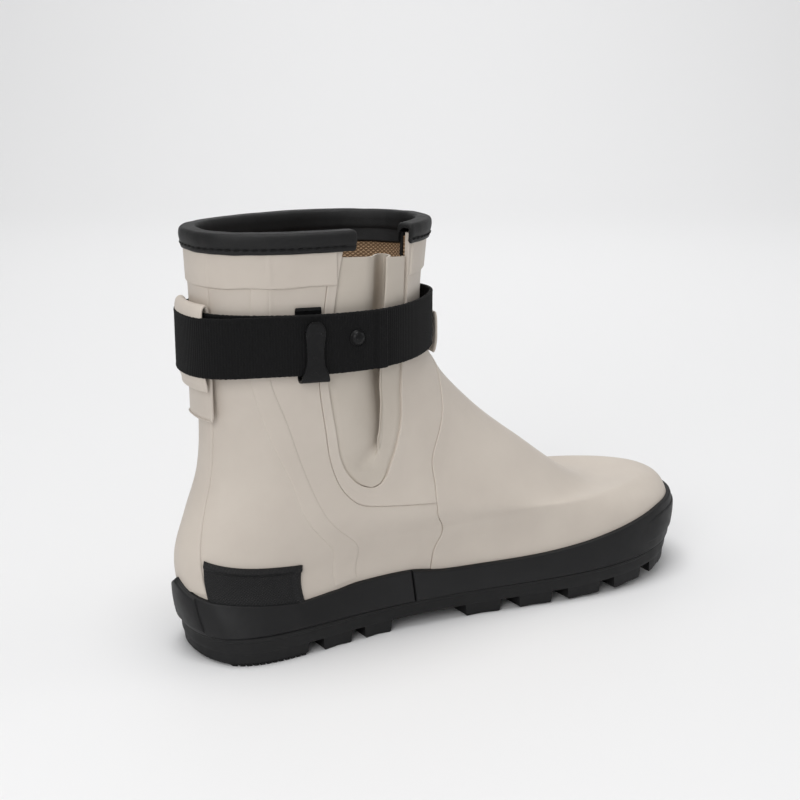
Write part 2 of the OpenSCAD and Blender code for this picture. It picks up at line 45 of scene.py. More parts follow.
# Sections from the feather line (row 0) to the collar (row 8), as in part.scad:
# back x, back z, front x, front z, outer half-widths at heel, waist, ball and toe,
# inner half-widths at the same four, roundness, lateness of the rise
LAST = np.array([
    [6, 14, 288, 22, 47.5, 31, 46, 61, 45.5, 31, 49, 60, 2.3, 6],
    [2, 33, 291, 43, 36, 30, 43.5, 57, 36, 30, 46, 56.5, 2.3, 1.45],
    [1, 50, 280, 53, 38, 33.5, 42.5, 49, 39, 33.5, 45.5, 50.5, 2.1, 1.25],
    [7, 69, 238, 54, 38, 37, 41, 42, 38, 37, 41, 44, 2.2, 1.4],
    [14, 90, 191.5, 85, 36.5, 35, 36, 36, 36.5, 35, 36, 36, 2.1, 1],
    [16, 113, 161, 109, 35, 36, 35, 34, 35, 36, 35, 34, 2.1, 1],
    [15, 138, 138.5, 134, 34, 37, 36, 32, 34, 37, 36, 32, 2.2, 1],
    [15, 160, 132, 160, 35, 37, 38, 29, 35, 37, 38, 29, 2.3, 1],
    [13.5, 206, 133.5, 206, 36.5, 38, 39, 34, 36.5, 38, 39, 34, 2.4, 1],
], float)

WIDTH_AT = (0.12, 0.38, 0.7, 0.92)
TOP_ROW = len(LAST) - 1
SHIFT = np.array([-146.35, -1.04, 0.0])
PANEL_TOP = 7.9
COLLAR_LOW = 7.48


def catmull(rows, w, corners=()):
    """Smooth curve through the rows of a table, with a kink at each corner index."""
    rows = np.asarray(rows, float)
    n = len(rows)
    w = np.clip(np.asarray(w, float), 0, n - 1 - 1e-9)
    i = np.floor(w).astype(int)
    t = (w - i)[..., None]
    b, d = rows[i], rows[i + 1]
    start = (i == 0) | np.isin(i, corners)
    end = (i + 1 == n - 1) | np.isin(i + 1, corners)
    a = np.where(start[..., None], 2 * b - d, rows[np.maximum(i - 1, 0)])
    e = np.where(end[..., None], 2 * d - b, rows[np.minimum(i + 2, n - 1)])
    return 0.5 * (2 * b + (d - a) * t + (2 * a - 5 * b + 4 * d - e) * t ** 2
                  + (3 * b - a - 3 * d + e) * t ** 3)


def curve(points, u, corners=()):
    return catmull(points, np.asarray(u, float) * (len(points) - 1), corners)


def power(v, e):
    return np.sign(v) * np.abs(v) ** e


def half_width(s, first, t):
    c = np.clip(t, 0.03, 0.97)
    total = 0
    for k in range(4):
        term = s[..., first + k]
        for j in range(4):
            if j != k:
                term = term * (c - WIDTH_AT[j]) / (WIDTH_AT[k] - WIDTH_AT[j])
        total = total + term
    return total


def skin(phi, w):
    """Points of the upper's outer surface, in mm: phi 0 at the toe, 180 at the heel."""
    phi, w = np.broadcast_arrays(np.asarray(phi, float), np.asarray(w, float))
    s = catmull(LAST, w)
    c, sn = np.cos(np.radians(phi)), np.sin(np.radians(phi))
    e = 2 / s[..., 12]
    t = (1 + power(c, e)) / 2
    width = np.where(sn < 0, half_width(s, 4, t), half_width(s, 8, t))
    x = s[..., 0] + (s[..., 2] - s[..., 0]) * t
    z = s[..., 1] + (s[..., 3] - s[..., 1]) * np.maximum(t, 0) ** s[..., 13]
    return np.stack([x, width * power(sn, e), z], -1) + SHIFT


def skin_normal(phi, w):
    across = skin(phi + 1.5, w) - skin(phi - 1.5, w)
    up = skin(phi, np.minimum(w + 0.06, TOP_ROW)) - skin(phi, np.maximum(w - 0.06, 0))
    n = np.cross(across, up)
    return n / np.linalg.norm(n, axis=-1, keepdims=True)


def off_skin(phi, w, d):
    d = np.asarray(d, float)
    return skin(phi, w) + skin_normal(np.asarray(phi, float), np.asarray(w, float)) * d[..., None]


def smooth(t):
    t = np.clip(t, 0, 1)
    return t * t * (3 - 2 * t)


def lerp(a, b, t):
    return a + (b - a) * t


def waves(seed, count, low, high):
    """A smooth, repeatable wandering function of one variable."""
    rng = np.random.default_rng(seed)
    freq = rng.uniform(low, high, count)
    phase = rng.uniform(0, 2 * math.pi, count)
    return lambda s: sum(np.sin(f * s + p) for f, p in zip(freq, phase)) / count


# ---------------------------------------------------------------- mesh building

def make_object(name, verts, faces, material, body="boot", sharp=38):
    mesh = bpy.data.meshes.new(name)
    mesh.from_pydata([tuple(v) for v in np.asarray(verts) * MM], [], faces)
    mesh.validate()
    bm = bmesh.new()
    bm.from_mesh(mesh)
    bmesh.ops.recalc_face_normals(bm, faces=bm.faces)
    bm.to_mesh(mesh)
    bm.free()
    mesh.shade_smooth()
    mesh.set_sharp_from_angle(angle=math.radians(sharp))
    mesh.materials.append(material)
    obj = bpy.data.objects.new(name, mesh)
    bpy.context.scene.collection.objects.link(obj)
    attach(obj, body)
    return obj


def solid(name, outer, inner, material, slot, ring=False, body="boot", uv=None, sharp=38):
    """Closed mesh between two grids of points, ring closes it round the first axis."""
    nu, nv = outer.shape[:2]
    verts = np.concatenate([outer.reshape(-1, 3), inner.reshape(-1, 3)])
    off = nu * nv
    faces = []
    last_u = nu if ring else nu - 1

    def at(i, j):
        return (i % nu) * nv + j

    for i in range(last_u):
        for j in range(nv - 1):
            a, b, c, d = at(i, j), at(i + 1, j), at(i + 1, j + 1), at(i, j + 1)
            faces.append((a, b, c, d))
            faces.append((a + off, d + off, c + off, b + off))
        for j in (0, nv - 1):
            a, b = at(i, j), at(i + 1, j)
            faces.append((a, a + off, b + off, b) if j == 0 else (a, b, b + off, a + off))
    if not ring:
        for j in range(nv - 1):
            for i in (0, nu - 1):
                a, d = at(i, j), at(i, j + 1)
                faces.append((a, d, d + off, a + off) if i == 0 else (a, a + off, d + off, d))
    obj = make_object(name, verts, faces, material, body, sharp)
    if uv is not None:
        flat = np.concatenate([uv.reshape(-1, 2), uv.reshape(-1, 2)])
        layer = obj.data.uv_layers.new(name="cloth")
        index = np.empty(len(obj.data.loops), int)
        obj.data.loops.foreach_get("vertex_index", index)
        layer.data.foreach_set("uv", flat[index].ravel())
    return obj


FINE = np.array([0, 0.08, 0.17, 0.28, 0.42, 0.6, 0.9, 1.5, 2.6, 4.2])


def graded(n, length):
    """n even steps from 0 to 1, with fine rows close to both ends of a run of that length."""
    f = FINE / length
    inner = np.linspace(f[-1], 1 - f[-1], n)[1:-1]
    return np.concatenate([f, inner, 1 - f[::-1]])


def run_lengths(points, axis):
    """Distance from the first and the last row of a grid, along one of its axes."""
    step = np.linalg.norm(np.diff(points, axis=axis), axis=-1)
    pad = [(0, 0), (0, 0)]
    pad[axis] = (1, 0)
    run = np.pad(np.cumsum(step, axis=axis), pad)
    total = np.take(run, [-1], axis=axis)
    return run, total - run


def quarter_round(dist, radius):
    """0 at an edge rising to 1 at the radius, as a quarter circle."""
    t = 1 - np.clip(dist / radius, 0, 1)
    return np.sqrt(np.maximum(0, 1 - t * t))


def edge_round(points, radius, sides="lrbt"):
    """Rounding factor of a grid: l and r are the ends of its first axis, b and t of its second."""
    left, right = run_lengths(points, 0)
    low, high = run_lengths(points, 1)
    dist = np.full(points.shape[:2], 1e9)
    for key, d in (("l", left), ("r", right), ("b", low), ("t", high)):
        if key in sides:
            dist = np.minimum(dist, d)
    return quarter_round(dist, radius)


def nearest(points, line):
    """Distance of each grid point from a densely sampled line."""
    flat = points.reshape(-1, 3)
    out = np.full(len(flat), 1e9)
    for k in range(0, len(line), 64):
        d = np.linalg.norm(flat[:, None] - line[None, k:k + 64], axis=-1)
        out = np.minimum(out, d.min(axis=1))
    return out.reshape(points.shape[:2])


def overlay(name, phi, w, height, base, material, slot, radius=0.8, sides="lrbt", **more):
    """Bonded strip on the last: phi and w are grids, height its thickness above the skin."""
    rest = off_skin(phi, w, np.zeros(phi.shape))
    k = edge_round(rest, radius, sides)
    top = base + (np.asarray(height) - base) * k
    return solid(name, off_skin(phi, w, top), off_skin(phi, w, np.full(phi.shape, base - 0.3)),
                 material, slot, **more)


# ---------------------------------------------------------------- materials

def nodes_of(name):
    mat = bpy.data.materials.new(name)
    mat.use_nodes = True
    tree = mat.node_tree
    return mat, tree, tree.nodes["Principled BSDF"]


def add(tree, kind, **values):
    node = tree.nodes.new(kind)
    for key, value in values.items():
        if key.startswith("in_"):
            node.inputs[key[3:].replace("_", " ")].default_value = value
        else:
            setattr(node, key, value)
    return node


def object_coords(tree):
    return add(tree, "ShaderNodeTexCoord").outputs["Object"]


def noise(tree, coords, scale, detail=3.0, rough=0.55):
    node = add(tree, "ShaderNodeTexNoise", in_Scale=scale, in_Detail=detail, in_Roughness=rough)
    tree.links.new(coords, node.inputs["Vector"])
    return node.outputs["Fac"]


def spread(tree, value, low, high, out_low, out_high):
    node = add(tree, "ShaderNodeMapRange", in_From_Min=low, in_From_Max=high,
               in_To_Min=out_low, in_To_Max=out_high)
    tree.links.new(value, node.inputs["Value"])
    return node.outputs["Result"]


def two_tone(tree, factor, dark, light):
    node = add(tree, "ShaderNodeMix", data_type="RGBA")
    node.inputs["A"].default_value = (*dark, 1)
    node.inputs["B"].default_value = (*light, 1)
    tree.links.new(factor, node.inputs["Factor"])
    return node.outputs["Result"]


def bumps(tree, shader, layers):
    """Chains height sources as (value, strength, distance in metres)."""
    normal = None
    for height, strength, distance in layers:
        node = add(tree, "ShaderNodeBump", in_Strength=strength, in_Distance=distance)
        tree.links.new(height, node.inputs["Height"])
        if normal is not None:
            tree.links.new(normal, node.inputs["Normal"])
        normal = node.outputs["Normal"]
    tree.links.new(normal, shader.inputs["Normal"])


def rubber(name, dark, light, rough, grain=0.25, shine=0.42):
    """Matte moulded or sheet rubber: cloudy tone, fine grain and a few broad undulations."""
    mat, tree, shader = nodes_of(name)
    xyz = object_coords(tree)
    cloud = spread(tree, noise(tree, xyz, 38, 5), 0.3, 0.7, 0, 1)
    tree.links.new(two_tone(tree, cloud, dark, light), shader.inputs["Base Color"])
    sheen = spread(tree, noise(tree, xyz, 150, 4), 0.3, 0.7, rough - 0.05, rough + 0.06)
    tree.links.new(sheen, shader.inputs["Roughness"])
    shader.inputs["Specular IOR Level"].default_value = shine
    bumps(tree, shader, [(noise(tree, xyz, 2600, 2), grain, 0.00006),
                         (noise(tree, xyz, 55, 2), 0.35, 0.0007)])
    return mat


def leather(name, dark, light, rough):
    mat, tree, shader = nodes_of(name)
    xyz = object_coords(tree)
    cloud = spread(tree, noise(tree, xyz, 90, 4), 0.3, 0.7, 0, 1)
    tree.links.new(two_tone(tree, cloud, dark, light), shader.inputs["Base Color"])
    shader.inputs["Roughness"].default_value = rough
    shader.inputs["Specular IOR Level"].default_value = 0.32
    cells = add(tree, "ShaderNodeTexVoronoi", feature="DISTANCE_TO_EDGE", in_Scale=1300)
    tree.links.new(xyz, cells.inputs["Vector"])
    grain = spread(tree, cells.outputs["Distance"], 0.0, 0.25, 0, 1)
    bumps(tree, shader, [(grain, 0.35, 0.00012), (noise(tree, xyz, 260, 3), 0.4, 0.0004)])
    return mat


def webbing_cloth(name, dark, light):
    """Grosgrain: cross ribs are in the mesh, the yarns' grain and fuzz are here."""
    mat, tree, shader = nodes_of(name)
    xyz = object_coords(tree)
    fuzz = spread(tree, noise(tree, xyz, 1500, 4), 0.25, 0.75, 0, 1)
    tree.links.new(two_tone(tree, fuzz, dark, light), shader.inputs["Base Color"])
    shader.inputs["Roughness"].default_value = 0.82
    shader.inputs["Specular IOR Level"].default_value = 0.2
    shader.inputs["Sheen Weight"].default_value = 0.03
    shader.inputs["Sheen Roughness"].default_value = 0.5
    yarn = add(tree, "ShaderNodeTexWave", bands_direction="Z", in_Scale=380, in_Distortion=1.5,
               in_Detail=1.0)
    tree.links.new(xyz, yarn.inputs["Vector"])
    bumps(tree, shader, [(yarn.outputs["Fac"], 0.35, 0.00012),
                         (noise(tree, xyz, 2200, 2), 0.5, 0.0002)])
    return mat


def knit(name, dark, light, pitch):
    """Knitted mesh in cloth coordinates of millimetres: rows of slanted loops."""
    mat, tree, shader = nodes_of(name)
    uv = add(tree, "ShaderNodeUVMap", uv_map="cloth").outputs["UV"]
    heights = []
    for angle in (0.95, -0.95):
        turn = add(tree, "ShaderNodeMapping", in_Rotation=(0, 0, angle))
        tree.links.new(uv, turn.inputs["Vector"])
        wave = add(tree, "ShaderNodeTexWave", in_Scale=math.pi / 10 / pitch, in_Distortion=0.35,
                   in_Detail=1.0, in_Detail_Scale=2.0)
        tree.links.new(turn.outputs["Vector"], wave.inputs["Vector"])
        heights.append(wave.outputs["Fac"])
    loops = add(tree, "ShaderNodeMath", operation="MULTIPLY")
    tree.links.new(heights[0], loops.inputs[0])
    tree.links.new(heights[1], loops.inputs[1])
    tone = spread(tree, loops.outputs["Value"], 0.02, 0.55, 0, 1)
    tree.links.new(two_tone(tree, tone, dark, light), shader.inputs["Base Color"])
    shader.inputs["Roughness"].default_value = 0.9
    bumps(tree, shader, [(loops.outputs["Value"], 0.8, 0.0006)])
    return mat


def coated_metal(name, tone, rough):
    mat, tree, shader = nodes_of(name)
    xyz = object_coords(tree)
    shader.inputs["Base Color"].default_value = (*tone, 1)
    shader.inputs["Metallic"].default_value = 0.35
    shader.inputs["Specular IOR Level"].default_value = 0.3
    worn = spread(tree, noise(tree, xyz, 420, 4), 0.35, 0.7, rough - 0.08, rough + 0.1)
    tree.links.new(worn, shader.inputs["Roughness"])
    bumps(tree, shader, [(noise(tree, xyz, 1400, 2), 0.2, 0.00008)])
    return mat


def board(name, dark, light, scale=500):
    mat, tree, shader = nodes_of(name)
    xyz = object_coords(tree)
    flecks = spread(tree, noise(tree, xyz, scale, 6), 0.3, 0.7, 0, 1)
    tree.links.new(two_tone(tree, flecks, dark, light), shader.inputs["Base Color"])
    shader.inputs["Roughness"].default_value = 0.88
    bumps(tree, shader, [(flecks, 0.3, 0.0002)])
    return mat


def patch_rubber(name, dark, light):
    """Black rubber with a fine diagonal knurl."""
    mat, tree, shader = nodes_of(name)
    xyz = object_coords(tree)
    tree.links.new(two_tone(tree, noise(tree, xyz, 300, 3), dark, light),
                   shader.inputs["Base Color"])
    shader.inputs["Roughness"].default_value = 0.6
    shader.inputs["Specular IOR Level"].default_value = 0.3
    waves_out = []
    for angle in (0.7, -0.7):
        turn = add(tree, "ShaderNodeMapping", in_Rotation=(0, angle, 0))
        tree.links.new(xyz, turn.inputs["Vector"])
        wave = add(tree, "ShaderNodeTexWave", bands_direction="Z", in_Scale=300)
        tree.links.new(turn.outputs["Vector"], wave.inputs["Vector"])
        waves_out.append(wave.outputs["Fac"])
    cross = add(tree, "ShaderNodeMath", operation="MULTIPLY")
    tree.links.new(waves_out[0], cross.inputs[0])
    tree.links.new(waves_out[1], cross.inputs[1])
    bumps(tree, shader, [(cross.outputs["Value"], 0.6, 0.00035)])
    return mat


UPPER = rubber("upper_rubber", (0.56, 0.5, 0.44), (0.6, 0.54, 0.475), 0.5)
CLOTH = rubber("gusset_rubber_cloth", (0.53, 0.475, 0.41), (0.565, 0.51, 0.445), 0.58, 0.5)
BLACK = rubber("black_rubber", (0.006, 0.006, 0.0065), (0.009, 0.009, 0.0097), 0.52, 0.25, 0.3)
TREAD = rubber("tread_rubber", (0.006, 0.006, 0.0063), (0.009, 0.009, 0.0095), 0.62, 0.5, 0.3)
KNURL = patch_rubber("knurled_rubber", (0.005, 0.005, 0.0055), (0.01, 0.01, 0.0105))
WEBBING = webbing_cloth("webbing", (0.0015, 0.0015, 0.0017), (0.005, 0.005, 0.0054))
BINDING = leather("binding", (0.005, 0.005, 0.0053), (0.008, 0.008, 0.0083), 0.55)
THREAD = webbing_cloth("thread", (0.005, 0.005, 0.005), (0.012, 0.012, 0.012))
KNIT = knit("lining_knit", (0.2, 0.12, 0.065), (0.56, 0.37, 0.22), 1.5)
FACING = leather("facing", (0.008, 0.008, 0.0085), (0.012, 0.012, 0.0125), 0.55)
METAL = coated_metal("black_metal", (0.006, 0.006, 0.0064), 0.34)
STEEL = coated_metal("plain_steel", (0.45, 0.45, 0.47), 0.4)
BOARD = board("fibre_board", (0.36, 0.27, 0.16), (0.5, 0.4, 0.26))
STIFF = board("stiffener", (0.1, 0.09, 0.08), (0.15, 0.13, 0.11))
FOAM = board("sponge_rubber", (0.3, 0.2, 0.11), (0.42, 0.3, 0.17), 900)
FOOTBED = board("footbed_cloth", (0.018, 0.018, 0.018), (0.04, 0.04, 0.041), 1400)


def dress_cad():
    """Better materials for the CAD pieces that are right as they are."""
    looks = {"midsole_filler": FOAM, "shank": STEEL, "insole_board": BOARD,
             "heel_counter": STIFF, "toe_puff": STIFF, "rivet_post": STEEL, "rivet_burr": STEEL}
    for node, mat in looks.items():
        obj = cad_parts[node]
        obj.data.materials.clear()
        obj.data.materials.append(mat)


# ---------------------------------------------------------------- upper

def mirrored(points):
    return [[-a, w] for a, w in points]


# Edges in [degrees round the last, row]. They follow part.scad, except that the gusset's foot
# in PANEL_HIGH is a little wider here and some strips end a little further under others
VAMP_EDGE = [
    [98, 0], [97, 0.7], [96, 1.33], [94.5, 2], [92, 2.6], [88.5, 3.2], [84, 3.6], [77, 4.1],
    [67, 4.55], [55, 5], [43, 5.4], [33, 5.65], [22, 5.85], [10, 6.02], [0, 6.07]]
QUARTER_EDGE = [
    [-98, 0], [-97, 0.7], [-96, 1.33], [-94.5, 2], [-92, 2.6], [-88.5, 3.2], [-95, 3.21],
    [-101, 3.24], [-105.5, 3.28], [-108.5, 3.42], [-111, 3.8], [-111, 4.4], [-108.5, 5.1],
    [-105, 5.8], [-102, 6.4], [-98, 7.3], [-94, 7.9]]
QUARTER_REAR = [0, 0.7, 1.33, 2, 2.5, 2.8, 3, 3.15, 3.3, 3.5, 3.85, 4.4, 5.1, 5.8, 6.4, 7.3,
                7.9]
INNER_EDGE = [
    [98, 0], [97, 0.7], [96, 1.33], [94.5, 2], [92, 2.6], [88.5, 3.2], [100, 3.5], [95, 4.2],
    [88, 4.9], [80, 5.5], [72, 6.05], [65, 6.7], [62, 7.3], [60, 7.9]]
INNER_REAR = [0, 0.7, 1.33, 2, 2.5, 2.9, 3.3, 4.2, 4.9, 5.5, 6.05, 6.7, 7.3, 7.9]
PANEL_LOW = QUARTER_EDGE[:4:-1] + mirrored(VAMP_EDGE[6:-1]) + [
    [-5, 6.06], [0, 6.07], [5, 6.06]] + VAMP_EDGE[-2:4:-1]
PANEL_HIGH = [
    [-90.5, 7.9], [-94, 7.3], [-98.5, 6.4], [-101, 5.8], [-104.5, 5.1], [-107, 4.45],
    [-107, 4.05], [-105, 3.78], [-101.5, 3.67], [-98, 3.74], [-94.6, 3.91], [-91.2, 4.14],
    [-86.2, 4.49], [-81, 4.84], [-76.2, 5.16], [-69.4, 5.64], [-63.2, 6.08], [-57.8, 6.7],
    [-55, 7.3], [-57, 7.9], [-23, 7.9], [0, 7.9], [23, 7.9], [46, 7.9]] + INNER_EDGE[:5:-1]
FOOT_CORNER = 5      # index of the seams' corner in QUARTER_EDGE and INNER_EDGE
PANEL_CORNER = 11    # the same corner in PANEL_LOW
TOP_CORNERS = (19, 24)  # where PANEL_HIGH meets the collar
RUBBER_T = 1.8
SEAM_DEPTH = 0.75
SEAM_RADIUS = 0.55


def line_on_skin(points, corners=(), per=40):
    u = np.linspace(0, 1, (len(points) - 1) * per + 1)
    q = curve(points, u, corners)
    return skin(q[:, 0], q[:, 1])


SEAMS = {
    "vamp": np.concatenate([line_on_skin(VAMP_EDGE), line_on_skin(mirrored(VAMP_EDGE))]),
    "frame": line_on_skin(PANEL_LOW[:PANEL_CORNER + 1]),
    "gusset": line_on_skin(PANEL_HIGH[:TOP_CORNERS[0] + 1]),
    "inner": line_on_skin([[88.5, 3.2]] + PANEL_HIGH[:TOP_CORNERS[1] - 1:-1], (1,)),
}


def seam_relief(points, over=()):
    """Offset of a panel's face: a rounded fall into every seam, and a slight rise of the edge
    along the seams where this panel lies over its neighbour."""
    fall = np.zeros(points.shape[:2])
    rise = np.zeros(points.shape[:2])
    for name, line in SEAMS.items():
        dist = nearest(points, line)
        fall = np.maximum(fall, SEAM_DEPTH * (1 - quarter_round(dist, SEAM_RADIUS)))
        if name in over:
            rise = np.maximum(rise, 0.38 * (1 - smooth(dist / 9)))
    return rise - fall


def panel(name, phi, w, over, *replaced, ridge=0):
    rest = skin(phi, w)
    top = seam_relief(rest, over) + ridge
    obj = solid(name, off_skin(phi, w, top), off_skin(phi, w, np.full(phi.shape, -RUBBER_T)),
                UPPER, "upper_rubber")
    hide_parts(*replaced)
    return obj


def span(left, right, u):
    """Grid of [phi, w] between two edges that share their row parameter."""
    q = lerp(left[None], right[None], u[:, None, None])
    return q[..., 0], q[..., 1]


def rows_for(points, per):
    return np.linspace(0, 1, (len(points) - 1) * per + 1)


def build_vamp():
    v = rows_for(VAMP_EDGE, 10)
    right = curve(VAMP_EDGE, v)
    phi, w = span(right * [-1, 1], right, graded(90, 190))
    panel("vamp_sheet", phi, w, ("vamp",), "vamp")


def build_front_panel():
    u = rows_for(PANEL_LOW, 10)
    low = curve(PANEL_LOW, u, (PANEL_CORNER,))
    high = curve(PANEL_HIGH, u, TOP_CORNERS)
    v = graded(26, 40)
    q = lerp(low[:, None], high[:, None], v[None, :, None])
    panel("front_panel_sheet", q[..., 0], q[..., 1], ("frame", "gusset", "inner"), "front_panel")


def build_quarters():
    v = rows_for(QUARTER_EDGE, 10)
    front = curve(QUARTER_EDGE, v, (FOOT_CORNER,))
    rear = np.stack([np.full(len(v), -180.0), curve([[w] for w in QUARTER_REAR], v)[:, 0]], -1)
    phi, w = span(rear, front, graded(110, 100))
    # edge of the ply beneath, from the collar to the strap
    ridge = 0.4 * np.exp(-((phi + 123) / 1.1) ** 2) * smooth((w - 6.1) / 0.5)
    panel("outer_quarter_sheet", phi, w, (), "quarter_lateral", ridge=ridge)
    v = rows_for(INNER_EDGE, 10)
    front = curve(INNER_EDGE, v, (FOOT_CORNER, FOOT_CORNER + 1))
    rear = np.stack([np.full(len(v), 180.0), curve([[w] for w in INNER_REAR], v)[:, 0]], -1)
    phi, w = span(front, rear, graded(70, 100))
    panel("inner_quarter_sheet", phi, w, (), "quarter_medial")


# Section of the pleat: [fraction from the rear edge to the front edge, depth], round its fold
PLEAT = [[0, 0], [0.15, 0.01], [0.28, 0.07], [0.38, 0.22], [0.48, 0.44], [0.58, 0.7],
         [0.68, 0.91], [0.77, 1], [0.84, 0.93], [0.83, 0.74], [0.77, 0.5], [0.68, 0.25],
         [0.61, 0.1], [0.585, 0.02], [0.6, -0.03], [0.68, -0.03], [0.84, 0], [1, 0]]
PLEAT_LIP = 0.585
LIP_ROWS = [4.1, 4.4, 4.8, 5.5, 6.4, 7.3, 7.75]
LIP_AT = [0.62, 0.63, 0.65, 0.665, 0.61, 0.54, 0.53]
PLEAT_DEPTH = 11
PLEAT_FOOT = 4.05


def build_gusset():
    low, high = PANEL_HIGH[:9][::-1], PANEL_HIGH[8:TOP_CORNERS[0] + 1]
    v = np.concatenate([[0, 0.004, 0.01, 0.02], np.linspace(0.03, 0.965, 90)])
    rear, front = curve(low, v), curve(high, v)
    t = np.linspace(0, 1, 150)
    fold = curve(PLEAT, t)
    s, depth = fold[:, 0][:, None], fold[:, 1][:, None]
    # the fold's lip wanders across the gusset on its way up
    lip = np.interp((rear[:, 1] + front[:, 1]) / 2, LIP_ROWS, LIP_AT)[None]
    s = np.where(s < PLEAT_LIP, s * lip / PLEAT_LIP, 1 - (1 - s) * (1 - lip) / (1 - PLEAT_LIP))
    # the overlap opens gradually above the pleat's foot
    level = rear[None, :, 1] + (front[:, 1] - rear[:, 1])[None] * 0.5
    s = lerp(t[:, None] + 0 * s, s, smooth((level - PLEAT_FOOT) / 0.7))
    phi = rear[None, :, 0] + (front[:, 0] - rear[:, 0])[None] * s
    w = rear[None, :, 1] + (front[:, 1] - rear[:, 1])[None] * s
    rise = np.clip((w - PLEAT_FOOT) / (PANEL_TOP - PLEAT_FOOT), 0, 1)
    edge = 4 * s * (1 - s)
    d = -0.85 + 0.55 * smooth(edge * 3) - PLEAT_DEPTH * rise ** 0.6 * depth
    # the front flap parts from the panel near the top
    d = d - 1.6 * smooth((w - 7.25) / 0.3) * smooth((s - 0.93) / 0.07)
    outer = off_skin(phi, w, d)
    thick = np.gradient(outer, axis=0)
    along = np.gradient(outer, axis=1)
    n = np.cross(thick, along)
    n /= np.linalg.norm(n, axis=-1, keepdims=True)
    obj = solid("gusset_cloth", outer, outer - n * 1.0, CLOTH, "gusset_cloth", sharp=60)
    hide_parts("gusset")


BAND_REAR = [[-118.5, 0.8], [-120, 1.93], [-125, 3.28], [-128, 4], [-134, 5], [-137, 5.88],
             [-137, 6.6], [-134, 7.5]]
BAND_FRONT = [[-113, 0.9], [-114, 2.05], [-119, 3.38], [-122, 4.28], [-124, 5.3], [-126, 5.98],
              [-126, 6.6], [-123, 7.5]]
FOXING_TOP = [
    [0, 1.02], [36, 0.96], [46, 0.86], [57, 0.75], [68, 0.66], [80, 0.62], [94, 0.67],
    [101, 0.8], [113, 0.79], [118, 0.72], [130, 0.64], [150, 0.8], [160, 0.9], [170, 1.05],
    [180, 1.38]]


def foxing_top(phi):
    """Row of the foxing's top edge at each direction round the boot."""
    a = np.abs((np.asarray(phi, float) + 180) % 360 - 180)
    table = np.array(FOXING_TOP, float)
    k = np.interp(a, table[:, 0], np.arange(len(table)))
    return catmull(table, k)[..., 1]


def build_bands():
    v = graded(120, 160)
    for side, name in ((1, "lateral"), (-1, "medial")):
        rear, front = curve(BAND_REAR, v), curve(BAND_FRONT, v)
        left, right = (rear, front) if side > 0 else (front * [-1, 1], rear * [-1, 1])
        phi, w = span(left, right, graded(6, 11))
        obj = overlay("side_band_" + name, phi, w, 0.42, -0.25, UPPER, "upper_rubber", 1.3,
                      "lrt")
        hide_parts("side_band_" + name)


# Half-width of the backstay from the foxing up, in degrees
BACKSTAY_HALF = [[19], [17.4], [14], [12], [12.5], [15], [16], [16]]


def build_backstay():
    v = graded(110, 150)
    low, high = foxing_top(180) - 0.3, COLLAR_LOW + 0.02
    u = graded(16, 26)
    half = curve(BACKSTAY_HALF, v)[:, 0]
    phi = 180 + half[None] * (2 * u[:, None] - 1)
    w = np.broadcast_to(lerp(low, high, v)[None], phi.shape)
    obj = overlay("backstay_strip", phi, w, 0.75, -0.25, UPPER, "upper_rubber", 1.2, "lrt")
    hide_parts("backstay")


def build_collar():
    u = graded(300, 310)
    v = graded(8, 21)
    wander = waves(4, 5, 0.05, 0.2)
    phi = lerp(-54, 267, u)[:, None] + 0 * v[None]
    low = COLLAR_LOW + 0.012 * wander(lerp(-54, 267, u))
    w = lerp(low[:, None], PANEL_TOP + 0.02, v[None])
    height = 1.25 + 0.12 * wander(phi * 1.7)
    # the backstay and the panel seams show through the band
    height = height + 0.4 * smooth((18 - np.abs(phi - 180)) / 1.2)
    height = height + 0.35 * np.exp(-((phi - 237) / 0.9) ** 2)
    obj = overlay("collar_band_strip", phi, w, height, -0.25, UPPER, "upper_rubber", 1.0, "lrb")
    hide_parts("collar_band")


# ---------------------------------------------------------------- foxing and sole

FOXING_T = 3.0


def foxing_piece(name, start, stop, low, high, thick, base, mat, n_u, radius=0.9, sides="lrbt",
                 fine_v=16, shape=None):
    """Strip round the sole. low and high are fractions of the foxing's height."""
    u, v = graded(n_u, 250), graded(fine_v, 22)
    phi = lerp(start, stop, u)[:, None] + 0 * v[None]
    top = foxing_top(phi)
    w = lerp(low, high, v[None]) * top
    height = thick if shape is None else shape(phi, lerp(low, high, v[None]) + 0 * phi)
    return overlay(name, phi, w, height, base, mat, "black_rubber", radius, sides)


def foxing_height(_, k):
    """Bulge of the foxing's face: k runs from its lower edge 0 to its top edge 1."""
    return FOXING_T - 0.75 * k ** 1.5 + 0.35 * np.sin(math.pi * np.clip(k, 0, 1))


def build_foxing():
    seam = 101
    obj = foxing_piece("foxing_rear_strip", seam, 360 - seam, -0.02, 1, 3, 0, BLACK, 200,
                       shape=foxing_height)
    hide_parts("foxing_rear")
    def front(phi, k):
        lap = 0.45 * smooth((np.abs(phi) - 92) / 6)
        return foxing_height(phi, k) + lap
    obj = foxing_piece("foxing_front_strip", -seam, seam, -0.02, 1, 3, 0, BLACK, 260, shape=front)
    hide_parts("foxing_front")
    obj = foxing_piece("toe_bumper_strip", -46, 46, 0.26, 0.8, 0, 2, BLACK, 90,
                       shape=lambda phi, k: foxing_height(phi, k) + 0.75
                       * smooth((46 - np.abs(phi)) / 8), radius=0.7)
    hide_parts("toe_bumper")
    obj = foxing_piece("heel_spur_pad", 167, 193, 0.1, 0.97, 0, 2, BLACK, 30,
                       shape=lambda phi, k: foxing_height(phi, k) + 1.0, radius=1.1)
    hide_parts("heel_spur")


